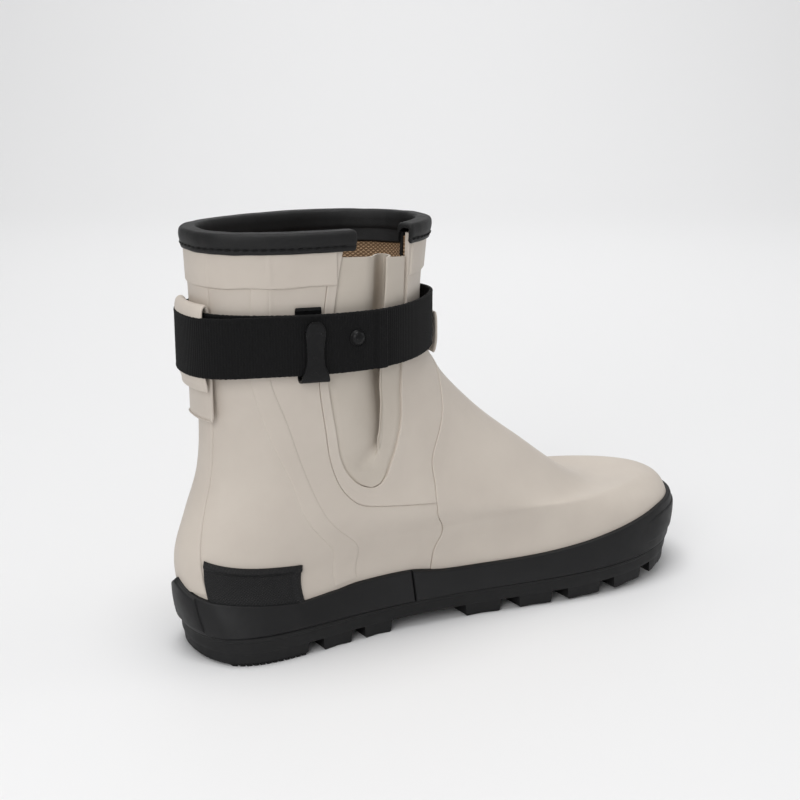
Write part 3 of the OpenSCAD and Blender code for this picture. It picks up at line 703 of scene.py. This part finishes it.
def build_heel_patches():
    rear, front = 161.5, 127.5
    u, v = graded(60, 58), graded(30, 24)
    for side, name in ((-1, "lateral"), (1, "medial")):
        phi = lerp(rear, front, u)[:, None] + 0 * v[None]
        low = foxing_top(phi) - 0.12
        high = lerp(2.05, 1.6, u)[:, None] - 0.04 * np.sin(math.pi * u)[:, None]
        w = lerp(low, high, v[None])
        if side < 0:
            phi = -phi
        else:
            phi, w = phi[::-1], w[::-1]
        rest = skin(phi, w)
        left, right = run_lengths(rest, 0)
        ahead = right if side < 0 else left
        _, above = run_lengths(rest, 1)
        rim = np.maximum(1 - np.abs(above - 2.2) / 1.9, 1 - np.abs(ahead - 2.4) / 2.1)
        height = 1.3 + 1.25 * smooth(rim) + 0.25 * smooth((3 - above) / 3)
        obj = overlay("heel_patch_" + name, phi, w, height, -0.2, KNURL, "black_rubber", 0.9)
        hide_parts("heel_patch_" + name)


def spring(x_last):
    row = LAST[0]
    t = np.clip((x_last - row[0]) / (row[2] - row[0]), 0, 1.04)
    return (row[3] - row[1]) * t ** row[13]


def footprint(offset, n=288):
    phi = np.arange(n) * 360 / n
    p = skin(phi, 0)[:, :2]
    t = skin(phi + 1.5, 0)[:, :2] - skin(phi - 1.5, 0)[:, :2]
    normal = np.stack([t[:, 1], -t[:, 0]], -1) / np.linalg.norm(t, axis=1)[:, None]
    return p + offset * normal


def clip(poly, axis, limit, keep_above):
    """A polygon cut by one line square to x or y."""
    out = []
    for k in range(len(poly)):
        a, b = poly[k - 1], poly[k]
        ia, ib = (a[axis] >= limit) == keep_above, (b[axis] >= limit) == keep_above
        if ia != ib:
            t = (limit - a[axis]) / (b[axis] - a[axis])
            out.append(a + (b - a) * t)
        if ib:
            out.append(b)
    return np.array(out)


PLATE_Z, LUG_H = 13.0, 6.5


def prism(bm, poly, low, high, chamfer, draft=0.8):
    """Lug: an extruded polygon with a drafted side and a small chamfer at its tread."""
    centre = poly.mean(axis=0)
    reach = np.linalg.norm(poly - centre, axis=1, keepdims=True)
    pull = (poly - centre) / np.maximum(reach, 1e-6)
    rise = spring(poly[:, 0] - SHIFT[0])
    rings = []
    for inset, z in ((0, high), (draft * 0.8, low + chamfer), (draft + chamfer * 0.8, low)):
        xy = poly - pull * inset
        rings.append([bm.verts.new((x * MM, y * MM, (z + r) * MM))
                      for (x, y), r in zip(xy, rise)])
    n = len(poly)
    for a, b in zip(rings, rings[1:]):
        for k in range(n):
            bm.faces.new((a[k - 1], a[k], b[k], b[k - 1]))
    bm.faces.new(rings[-1][::-1])
    bm.faces.new(rings[0])


EDGE_LUGS = [(61, 78), (85, 101), (143, 163), (173, 192), (201, 221), (230, 250), (258, 272)]
INNER_LUGS = [(61, 78), (85, 101), (145, 165), (175, 194), (203, 223), (232, 250), (258, 272)]
MIDDLE_LUGS = [(66, 94), (152, 170), (178, 196), (204, 222), (230, 248)]
LUG_REACH = 13.0
MIDDLE_HALF = 8.5


def build_outsole():
    bm = bmesh.new()
    # plate between the foxing and the tread, with a shallow ledge under the foxing
    # and a soft waistline above the lugs: (offset, height)
    section = [(1.0, 15.2), (2.0, 15.0), (2.6, 14.2), (2.55, 13.2), (1.9, 12.6), (1.75, 11.0),
               (1.7, 9.0), (1.5, 7.6), (1.1, 6.6), (0.4, 6.2)]
    rings = []
    for off, z in section:
        xy = footprint(off)
        rise = spring(xy[:, 0] - SHIFT[0])
        rings.append([bm.verts.new((x * MM, y * MM, (z + r) * MM)) for (x, y), r in zip(xy, rise)])
    for a, b in zip(rings, rings[1:]):
        for k in range(len(a)):
            bm.faces.new((a[k - 1], a[k], b[k], b[k - 1]))
    for ring, flip in ((rings[0], False), (rings[-1], True)):
        centre = [bm.verts.new(v.co) for v in ring]
        for v, (x, y) in zip(centre, footprint(-14)):
            r = spring(x - SHIFT[0])
            v.co = (x * MM, y * MM, (section[0 if not flip else -1][1] + float(r)) * MM)
        for k in range(len(ring)):
            quad = (ring[k - 1], ring[k], centre[k], centre[k - 1])
            bm.faces.new(quad[::-1] if flip else quad)
        # the middle of the plate as strips across the foot
        n = len(centre)
        for k in range(1, n // 2):
            quad = (centre[k - 1], centre[k], centre[n - k], centre[(n - k + 1) % n])
            face = [v for i, v in enumerate(quad) if v not in quad[:i]]
            if len(face) > 2:
                bm.faces.new(face if flip else face[::-1])
    tread = footprint(0.9)
    plate_low = LUG_H + 0.6
    for lugs, side in ((EDGE_LUGS, -1), (INNER_LUGS, 1)):
        for a, b in lugs:
            poly = clip(clip(tread, 0, a + SHIFT[0], True), 0, b + SHIFT[0], False)
            prism(bm, clip(poly, 1, side * LUG_REACH + SHIFT[1], side > 0), 0, plate_low, 0.7)
    for a, b in MIDDLE_LUGS:
        x0, x1 = a + SHIFT[0], b + SHIFT[0]
        prism(bm, np.array([(x0, -MIDDLE_HALF), (x1, -MIDDLE_HALF), (x1 + 5, 0),
                            (x1, MIDDLE_HALF), (x0, MIDDLE_HALF), (x0 + 5, 0)]),
              0, plate_low, 0.7)
    # heel block with small ribs across it, and the toe lug
    prism(bm, clip(tread, 0, 53 + SHIFT[0], False), 0.9, plate_low, 0.7)
    for k in range(12):
        x = 15.5 + 3.1 * k
        rib = clip(clip(footprint(0.2), 0, x + SHIFT[0], True), 0, x + 1.9 + SHIFT[0], False)
        prism(bm, rib, 0, 1.2, 0.3, 0.2)
    prism(bm, clip(tread, 0, 269 + SHIFT[0], True), 0, plate_low, 0.7)
    mesh = bpy.data.meshes.new("outsole_tread")
    bm.to_mesh(mesh)
    bm.free()
    verts = [v.co / MM for v in mesh.vertices]
    faces = [tuple(p.vertices) for p in mesh.polygons]
    obj = make_object("outsole_tread", np.array(verts), faces, TREAD, sharp=30)
    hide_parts("outsole")


# ---------------------------------------------------------------- collar and lining

BINDING_OUT = [
    [1.3, 7.815], [1.8, 7.803], [2.4, 7.806], [2.75, 7.825], [2.7, 7.842], [2.45, 7.85],
    [2.7, 7.862], [3.05, 7.885], [3.2, 7.925], [2.95, 7.965], [2.2, 7.99], [1.0, 8.0],
    [-0.8, 7.998], [-2.6, 8.0], [-4.2, 7.995], [-5.2, 7.975], [-5.6, 7.93], [-5.55, 7.88],
    [-5.4, 7.83], [-5.0, 7.8]]
BINDING_START, BINDING_END = -59, 272


def build_binding():
    out = curve(BINDING_OUT, np.linspace(0, 1, 96))
    core_d = np.interp(np.linspace(0, 1, 96), [0, 0.25, 0.45, 0.55, 0.8, 1],
                       [1.2, 1.2, 1.1, -3.4, -4.4, -4.5])
    core_w = np.interp(np.linspace(0, 1, 96), [0, 0.25, 0.45, 0.55, 0.8, 1],
                       [7.83, 7.87, 7.95, 7.95, 7.89, 7.82])
    u = graded(420, 330)
    phi = lerp(BINDING_START, BINDING_END, u)
    wave_a, wave_b = waves(11, 6, 0.05, 0.22), waves(12, 5, 0.3, 0.7)
    swell = 0.22 * wave_a(phi) + 0.1 * wave_b(phi)
    cuts = run_lengths(skin(phi, 7.8)[:, None], 0)
    ends = quarter_round(np.minimum(cuts[0], cuts[1])[:, 0], 1.6)
    # each grid row is one section, shrunk a little at the two cut ends
    mid_d, mid_w = -1.2, 7.91
    d = out[None, :, 0] + swell[:, None] * np.sign(out[None, :, 0])
    w = out[None, :, 1] + 0.004 * wave_b(phi * 0.6)[:, None]
    shrink = (0.72 + 0.28 * ends)[:, None]
    d = mid_d + (d - mid_d) * (0.86 + 0.14 * ends)[:, None]
    w = mid_w + (w - mid_w) * shrink
    grid_phi = np.broadcast_to(phi[:, None], d.shape)
    outer = off_skin(grid_phi[:, ::-1], np.minimum(w, TOP_ROW)[:, ::-1], d[:, ::-1])
    inner = off_skin(grid_phi, np.broadcast_to(core_w[::-1][None], d.shape),
                     np.broadcast_to(core_d[::-1][None], d.shape))
    obj = solid("collar_binding_wrap", outer, inner, BINDING, "binding", sharp=60)
    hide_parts("collar_binding")


def build_stitches():
    """Lock-stitch along the binding's lower edge, each stitch a small tilted capsule."""
    bm = bmesh.new()
    pitch, length, radius = 4.1, 3.0, 0.32
    dense = np.linspace(BINDING_START + 1.5, BINDING_END - 1.5, 4000)
    path = off_skin(dense, np.full(dense.shape, 7.846), np.full(dense.shape, 2.75))
    run = np.concatenate([[0], np.cumsum(np.linalg.norm(np.diff(path, axis=0), axis=1))])
    count = int(run[-1] // pitch)
    for k in range(count):
        a, b = k * pitch + 0.4, k * pitch + 0.4 + length
        ends = [np.array([np.interp(s, run, path[:, i]) for i in range(3)]) for s in (a, b)]
        axis = ends[1] - ends[0]
        axis /= np.linalg.norm(axis)
        side = np.cross(axis, [0, 0, 1])
        lift = np.array([0, 0, 1.0])
        rings = []
        for t, r in ((0, 0.12), (0.1, 0.75), (0.3, 1), (0.7, 1), (0.9, 0.75), (1, 0.12)):
            centre = lerp(ends[0], ends[1], t) + lift * lerp(-0.22, 0.22, t) \
                + side * 0.18 * math.sin(math.pi * t)
            ring = []
            for q in range(8):
                ang = q * math.pi / 4
                p = centre + radius * r * (math.cos(ang) * side + math.sin(ang) * lift)
                ring.append(bm.verts.new(tuple(p)))
            rings.append(ring)
        for a_ring, b_ring in zip(rings, rings[1:]):
            for q in range(8):
                bm.faces.new((a_ring[q - 1], a_ring[q], b_ring[q], b_ring[q - 1]))
        bm.faces.new(rings[0])
        bm.faces.new(rings[-1][::-1])
    verts = np.array([v.co for v in bm.verts])
    bm.verts.index_update()
    faces = [tuple(v.index for v in f.verts) for f in bm.faces]
    bm.free()
    obj = make_object("binding_stitches", verts, faces, THREAD, sharp=80)
    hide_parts("binding_stitching")


def cloth_uv(points):
    """Cloth coordinates in millimetres from run lengths along a grid."""
    left, _ = run_lengths(points, 0)
    low, _ = run_lengths(points, 1)
    return np.stack([left, low], -1)


def build_lining():
    v = np.linspace(0, 1, 70)
    rear = curve(PANEL_HIGH[:9][::-1], v)
    front = curve(PANEL_HIGH[8:TOP_CORNERS[0] + 1], v)
    left = front + [1.2, 0]
    right = rear + [360 - 1.2, 0]
    left[:, 1] = np.minimum(left[:, 1], 7.86)
    right[:, 1] = np.minimum(right[:, 1], 7.86)
    phi, w = span(left, right, np.linspace(0, 1, 200))
    outer = off_skin(phi, w, np.full(phi.shape, -2.2))
    inner = off_skin(phi, w, np.full(phi.shape, -3.2))
    mm_per_degree = 0.8
    cloth = np.stack([phi * mm_per_degree, inner[..., 2]], -1)
    obj = solid("lining_shaft_knit", outer, inner, KNIT, "lining_knit", uv=cloth)
    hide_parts("lining_shaft")
    u = np.arange(200) / 200 * 360
    phi = u[:, None] + 0 * np.linspace(0, 1, 50)[None]
    w = np.broadcast_to(np.linspace(0.1, 3.66, 50)[None], phi.shape)
    outer = off_skin(phi, w, np.full(phi.shape, -3.4))
    inner = off_skin(phi, w, np.full(phi.shape, -4.4))
    obj = solid("lining_foot_knit", outer, inner, KNIT, "lining_knit", ring=True,
                uv=cloth_uv(inner))
    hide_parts("lining_foot")


def build_facing():
    phi = lerp(-57, 268, graded(260, 320))[:, None] + 0 * np.linspace(0, 1, 14)[None]
    low = 7.66 + 0.004 * waves(21, 4, 0.1, 0.3)(phi[:, :1])
    w = lerp(low, 7.9, np.linspace(0, 1, 14)[None])
    k = edge_round(skin(phi, w), 0.6, "lrb")
    inner = off_skin(phi, w, -3.3 - 1.2 * k)
    outer = off_skin(phi, w, np.full(phi.shape, -3.25))
    obj = solid("collar_facing_tape", outer, inner, FACING, "facing")
    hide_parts("collar_facing")


def build_footbed():
    """Contoured footbed: a cupped heel and a gentle arch, cloth on foam."""
    n = 240
    phi = np.arange(n) * 360 / n
    rim = skin(phi, 0.9)[:, :2]
    t = skin(phi + 1.5, 0.9)[:, :2] - skin(phi - 1.5, 0.9)[:, :2]
    normal = np.stack([t[:, 1], -t[:, 0]], -1) / np.linalg.norm(t, axis=1)[:, None]
    edge = rim - 8.8 * normal
    centre_line = np.stack([edge[:, 0], edge[:, 1] * 0 + SHIFT[1]], -1)
    steps = np.array([0, 0.02, 0.05, 0.1, 0.2, 0.35, 0.55, 0.75, 0.9, 1.0])
    top, bottom = [], []
    for s in steps:
        xy = lerp(edge, lerp(edge, centre_line, 0.98) * [0.93, 1], s)
        rise = spring(xy[:, 0] - SHIFT[0])
        cup = 0.9 * (1 - smooth(s / 0.5)) * smooth((100 - (xy[:, 0] - SHIFT[0])) / 90)
        round_off = -1.2 * (1 - quarter_round(np.full(n, s), 0.06))
        top.append(np.column_stack([xy, PLATE_Z + 8.0 + rise + cup + round_off]))
        bottom.append(np.column_stack([xy, PLATE_Z + 5.25 + rise]))
    obj = solid("footbed_pad", np.stack(top, 1), np.stack(bottom, 1), FOOTBED, "footbed_cloth",
                ring=True, body="footbed")
    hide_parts("footbed")


# ---------------------------------------------------------------- strap

RING_ROW = 6.7
RING_GAP = [[4.8], [3.7], [3], [3], [3.1], [3.5], [3.6]]
STRAP_Z, WEB_W, WEB_T = 141.0, 28.0, 1.4
RIB_PITCH = 1.3
TAIL_REAR, TAIL_FRONT = 110, 284


def ring_flat(phi):
    """Inner face of the webbing, seen from above."""
    phi = np.asarray(phi, float)
    gap = catmull(RING_GAP, np.abs((phi + 180) % 360 - 180) / 30)[..., 0]
    return off_skin(phi, np.full(phi.shape, RING_ROW), gap)[..., :2]


def ring_normal(phi):
    t = ring_flat(phi + 1) - ring_flat(phi - 1)
    return np.stack([t[..., 1], -t[..., 0]], -1) / np.linalg.norm(t, axis=-1, keepdims=True)


def web_ribbon(name, start, stop, offset, droop, seed, ring=False, fold=0):
    """Webbing laid round the ring: cross ribs, thick selvedges and slightly uneven edges."""
    dense = np.linspace(start, stop, 6000)
    path = ring_flat(dense) + ring_normal(dense) * offset(dense)[:, None]
    run = np.concatenate([[0], np.cumsum(np.linalg.norm(np.diff(path, axis=0), axis=1))])
    count = int(run[-1] / RIB_PITCH) * 6
    s = np.linspace(0, run[-1], count + 1)
    if ring:
        s = s[:-1]
    phi = np.interp(s, run, dense)
    base, normal = ring_flat(phi), ring_normal(phi)
    off = offset(phi)
    sag = droop(phi)
    v = graded(14, WEB_W)
    rag_a, rag_b = waves(seed, 7, 1.0, 3.2), waves(seed + 1, 7, 1.0, 3.2)
    z = STRAP_Z + WEB_W * v[None] + sag[:, None]
    z = z + 0.16 * rag_a(s)[:, None] * (1 - smooth(v / 0.12))[None]
    z = z + 0.16 * rag_b(s)[:, None] * (1 - smooth((1 - v) / 0.12))[None]
    edge_mm = np.minimum(v, 1 - v) * WEB_W
    rib = 0.08 * np.cos(2 * math.pi * s / RIB_PITCH)[:, None] * smooth(edge_mm / 1.0)[None]
    bead = 0.12 * np.exp(-((edge_mm - 0.8) / 0.5) ** 2)[None]
    roundness = quarter_round(edge_mm, 0.5)[None]
    ends = np.minimum(s, run[-1] - s)[:, None]
    tip = 1.0 if ring else quarter_round(ends, 0.8)
    half = WEB_T / 2 * (0.25 + 0.75 * roundness * tip) + (rib + bead) * roundness * tip
    # the end is folded back on itself
    extra = fold * smooth((6.5 - (run[-1] - s)) / 0.9)[:, None] * tip
    faces = []
    for sign in (1, -1):
        d = off[:, None] + WEB_T / 2 + extra + sign * (half + extra)
        xy = base[:, None] + normal[:, None] * d[..., None]
        faces.append(np.concatenate([xy, z[..., None]], -1))
    return solid(name, faces[0], faces[1], WEBBING, "webbing", ring=ring, sharp=80)


def tail_lift(phi):
    return 1.9 * smooth((52 - np.abs(phi - 180)) / 34)


def heel_droop(phi):
    return -1.5 * smooth(1 - np.abs(phi - 185) / 62)


def build_strap():
    obj = web_ribbon("strap_round", 0, 360, lambda p: 0 * p, lambda p: 0.35 * np.sin(
        np.radians(2 * p + 40)), 31, ring=True)
    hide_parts("strap_inner")
    obj = web_ribbon("strap_tail_ribbon", TAIL_REAR, TAIL_FRONT,
                     lambda p: WEB_T + 0.2 + tail_lift(p), heel_droop, 41, fold=0.5)
    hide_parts("strap_tail")


HEEL_LOOP = [
    [1.8, 117.5], [2.5, 118.2], [2.6, 130], [2.7, 142], [2.8, 154], [2.9, 163], [3.1, 167.5],
    [3.6, 170.4], [4.7, 171.8], [5.9, 171], [6.4, 168.2], [6.2, 162], [6.0, 153], [5.95, 145],
    [5.8, 140.5], [5.2, 137.8], [4.5, 135.4], [4.2, 132.5]]
FRONT_LOOP = [
    [7.9, 156.2], [8.3, 153.6], [8.5, 149], [8.5, 144], [8.3, 140.5], [7.8, 137.8],
    [7.1, 135.6]]
LOOP_T = 1.5


def rubber_loop(name, phi0, path, half, node):
    n = (len(path) - 1) * 14
    v = np.linspace(0, 1, n + 1)
    line = curve(path[::-1], v)
    t = np.gradient(line, axis=0)
    t /= np.linalg.norm(t, axis=1, keepdims=True)
    side = np.stack([t[:, 1], -t[:, 0]], -1)
    u = graded(14, 2 * half * 0.75)
    phi = phi0 + half * (2 * u - 1)
    run, back = run_lengths(np.column_stack([line, 0 * v])[None], 1)
    tip = quarter_round(np.minimum(run, back)[0], 0.9)
    # both bottom corners of the bonded foot are rounded
    foot = 1 - 0.16 * (1 - quarter_round(back[0], 5.0))
    width_mm = np.minimum(u, 1 - u) * half * 1.5
    roundness = quarter_round(width_mm, 0.8)
    grids = []
    for sign in (1, -1):
        k = LOOP_T / 2 * (1 + sign * roundness[:, None] * tip[None])
        q = line[None] + side[None] * k[..., None]
        squeeze = phi0 + (phi - phi0)[:, None] * foot[None]
        b = skin(squeeze, np.full(squeeze.shape, 7.0))
        m = skin_normal(squeeze, np.full(squeeze.shape, 7.0))
        xy = b[..., :2] + m[..., :2] * q[..., :1]
        grids.append(np.concatenate([xy, q[..., 1:]], -1))
    obj = solid(name, grids[0], grids[1], UPPER, "upper_rubber", sharp=60)
    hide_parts(node)


def build_loops():
    rubber_loop("heel_loop_band", 180, HEEL_LOOP, 18, "heel_loop")
    rubber_loop("front_loop_band", 0, FRONT_LOOP, 9, "front_loop")


# ---------------------------------------------------------------- metal parts

HOOK_PHI, RIVET_PHI = -106, -89


def on_ring(phi, points):
    """Points given as [along the strap, outwards, height] to the boot's frame."""
    p, n = ring_flat(phi), ring_normal(phi)
    along = np.array([-n[1], n[0]])
    points = np.asarray(points, float)
    xy = p + points[..., :1] * along + points[..., 1:2] * n
    return np.concatenate([xy, points[..., 2:]], -1)


def build_hook():
    """J hook from one strip: plate behind the webbing, bend below it, bottle-shaped tongue."""
    gap_in, gap_out, t = 1.0, 2 * WEB_T + 0.2 + 0.5, 1.5
    low, top = STRAP_Z - 3.6, STRAP_Z + WEB_W + 1.7
    back, front = -gap_in - t / 2, gap_out + t / 2
    # centre line from the plate's top lip round the bend to the tongue's tip, then the
    # half-width and the sideways shift
    path = [[back + 1.4, top + 0.6, 5.9, -0.5], [back + 0.5, top + 0.2, 6.1, -0.5],
            [back, top - 2, 6.2, -0.4], [back, top - 12, 6.3, 0], [back, low + 12, 6.4, 0.4],
            [back, low + 4, 6.5, 0.6], [back + 0.5, low + 1.6, 6.7, 0.8],
            [back + 2, low + 0.75, 6.9, 1.0], [(back + front) / 2, low + 0.7, 6.9, 1.2],
            [front - 2, low + 0.75, 6.9, 1.4], [front - 0.5, low + 1.6, 6.7, 1.5],
            [front, low + 4, 6.1, 1.5], [front + 0.05, low + 8, 4.6, 1.4],
            [front + 0.1, low + 12, 4.0, 1.4], [front + 0.15, low + 16, 4.0, 1.4],
            [front + 0.3, low + 20, 4.4, 1.5], [front + 0.5, low + 23, 4.7, 1.5],
            [front + 0.8, low + 26, 4.2, 1.5], [front + 0.9, low + 28, 2.8, 1.5],
            [front + 0.7, low + 28.8, 1.5, 1.5]]
    v = np.linspace(0, 1, 200)
    line = curve(path, v)
    tangent = np.gradient(line[:, :2], axis=0)
    tangent /= np.linalg.norm(tangent, axis=1, keepdims=True)
    side = np.stack([tangent[:, 1], -tangent[:, 0]], -1)
    u = graded(14, 13)
    x = 2 * u - 1
    half = line[:, 2]
    grids = []
    for sign in (1, -1):
        edge = (1 - np.abs(x))[:, None] * half[None]
        k = quarter_round(edge, 0.55) * quarter_round(np.minimum(v, 1 - v) * 75, 0.6)[None]
        off = sign * t / 2 * (0.35 + 0.65 * k)
        yz = line[None, :, :2] + side[None] * off[..., None]
        across = x[:, None] * half[None] + line[None, :, 3]
        grids.append(np.stack([across, yz[..., 0], yz[..., 1]], -1))
    outer, inner = (on_ring(HOOK_PHI, g) for g in grids)
    obj = solid("strap_hook_plate", outer, inner, METAL, "black_metal", body="hook", sharp=50)
    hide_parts("strap_hook")


def build_rivet():
    """Domed cap with a thin flange."""
    profile = [(0, 2.6), (1.0, 2.54), (1.95, 2.3), (2.7, 1.87), (3.2, 1.3), (3.4, 0.83),
               (3.5, 0.62), (3.74, 0.5), (3.8, 0.3), (3.74, 0.05), (3.5, 0.0), (0, 0)]
    steps = 64
    line = np.array(profile, float)
    verts, faces = [], []
    for r, h in line:
        for k in range(steps):
            a = 2 * math.pi * k / steps
            verts.append((r * math.cos(a), 2 * WEB_T + 0.25 + h, STRAP_Z + 16 + r * math.sin(a)))
    for i in range(len(line) - 1):
        for k in range(steps):
            a, b = i * steps + k, i * steps + (k + 1) % steps
            faces.append((a, b, b + steps, a + steps))
    obj = make_object("rivet_dome", on_ring(RIVET_PHI, np.array(verts)), faces, METAL,
                      sharp=50)
    bm = bmesh.new()
    bm.from_mesh(obj.data)
    bmesh.ops.remove_doubles(bm, verts=bm.verts, dist=1e-6)
    bmesh.ops.recalc_face_normals(bm, faces=bm.faces)
    bm.to_mesh(obj.data)
    bm.free()
    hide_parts("rivet_cap")


# ---------------------------------------------------------------- stage, light and camera

def build_stage():
    """Pale floor that sweeps up into a backdrop behind the boot."""
    away = np.array([0.5, 0.866])
    across = np.array([-away[1], away[0]])
    line = [(-5, 0), (0, 0), (1.6, 0)]
    for a in range(5, 91, 5):
        t = math.radians(a)
        line.append((1.6 + 1.5 * math.sin(t), 1.5 - 1.5 * math.cos(t)))
    line.append((3.1, 6))
    verts = []
    for run, rise in line:
        for half in (-7, 7):
            x, y = away * run + across * half
            verts.append((x, y, rise))
    faces = [(2 * k, 2 * k + 1, 2 * k + 3, 2 * k + 2) for k in range(len(line) - 1)]
    floor = bpy.data.meshes.new("floor")
    floor.from_pydata(verts, [], faces)
    for face in floor.polygons:
        face.use_smooth = True
    mat, _, shader = nodes_of("pale_floor")
    shader.inputs["Base Color"].default_value = (0.86, 0.86, 0.865, 1)
    shader.inputs["Roughness"].default_value = 0.55
    shader.inputs["Specular IOR Level"].default_value = 0.2
    floor.materials.append(mat)
    obj = bpy.data.objects.new("floor", floor)
    bpy.context.scene.collection.objects.link(obj)


def area_light(name, place, size, energy, target=(0, 0, 0.09)):
    data = bpy.data.lights.new(name, "AREA")
    data.shape = "DISK"
    data.size = size
    data.energy = energy
    obj = bpy.data.objects.new(name, data)
    obj.location = place
    aim = Vector(target) - Vector(place)
    obj.rotation_euler = aim.to_track_quat("-Z", "Y").to_euler()
    bpy.context.scene.collection.objects.link(obj)


def build_lights():
    world = bpy.data.worlds.new("studio")
    world.use_nodes = True
    back = world.node_tree.nodes["Background"]
    back.inputs["Color"].default_value = (1, 1, 1, 1)
    back.inputs["Strength"].default_value = 0.44
    bpy.context.scene.world = world
    area_light("overhead", (-0.2, -0.1, 1.6), 0.9, 12)
    area_light("left_front", (-1.2, -1.0, 0.9), 1.0, 9)
    area_light("right_rim", (1.5, -0.4, 0.8), 0.9, 2)
    area_light("backdrop", (0.55, 0.95, 1.9), 1.6, 20, (1.5, 2.6, 0.7))
    bpy.context.scene.view_settings.view_transform = "Standard"


CAMERA_AZ, CAMERA_EL = math.radians(-30.0), math.radians(14.9)
CAMERA_DISTANCE = 0.7
CAMERA_LENS = 61.6
CAMERA_AIM = Vector((-0.02265, -0.00054, 0.1107))


def build_camera():
    back = Vector((math.sin(CAMERA_AZ) * math.cos(CAMERA_EL),
                   -math.cos(CAMERA_AZ) * math.cos(CAMERA_EL), math.sin(CAMERA_EL)))
    data = bpy.data.cameras.new("camera")
    data.lens = CAMERA_LENS
    data.sensor_width = 36
    data.clip_start = 0.01
    obj = bpy.data.objects.new("camera", data)
    obj.location = CAMERA_AIM + back * CAMERA_DISTANCE
    obj.rotation_euler = (-back).to_track_quat("-Z", "Y").to_euler()
    bpy.context.scene.collection.objects.link(obj)
    bpy.context.scene.camera = obj


build_camera()
build_lights()
build_stage()
dress_cad()
build_vamp()
build_front_panel()
build_quarters()
build_gusset()
build_bands()
build_backstay()
build_collar()
build_foxing()
build_heel_patches()
build_outsole()
build_binding()
build_stitches()
build_lining()
build_facing()
build_footbed()
build_strap()
build_loops()
build_hook()
build_rivet()
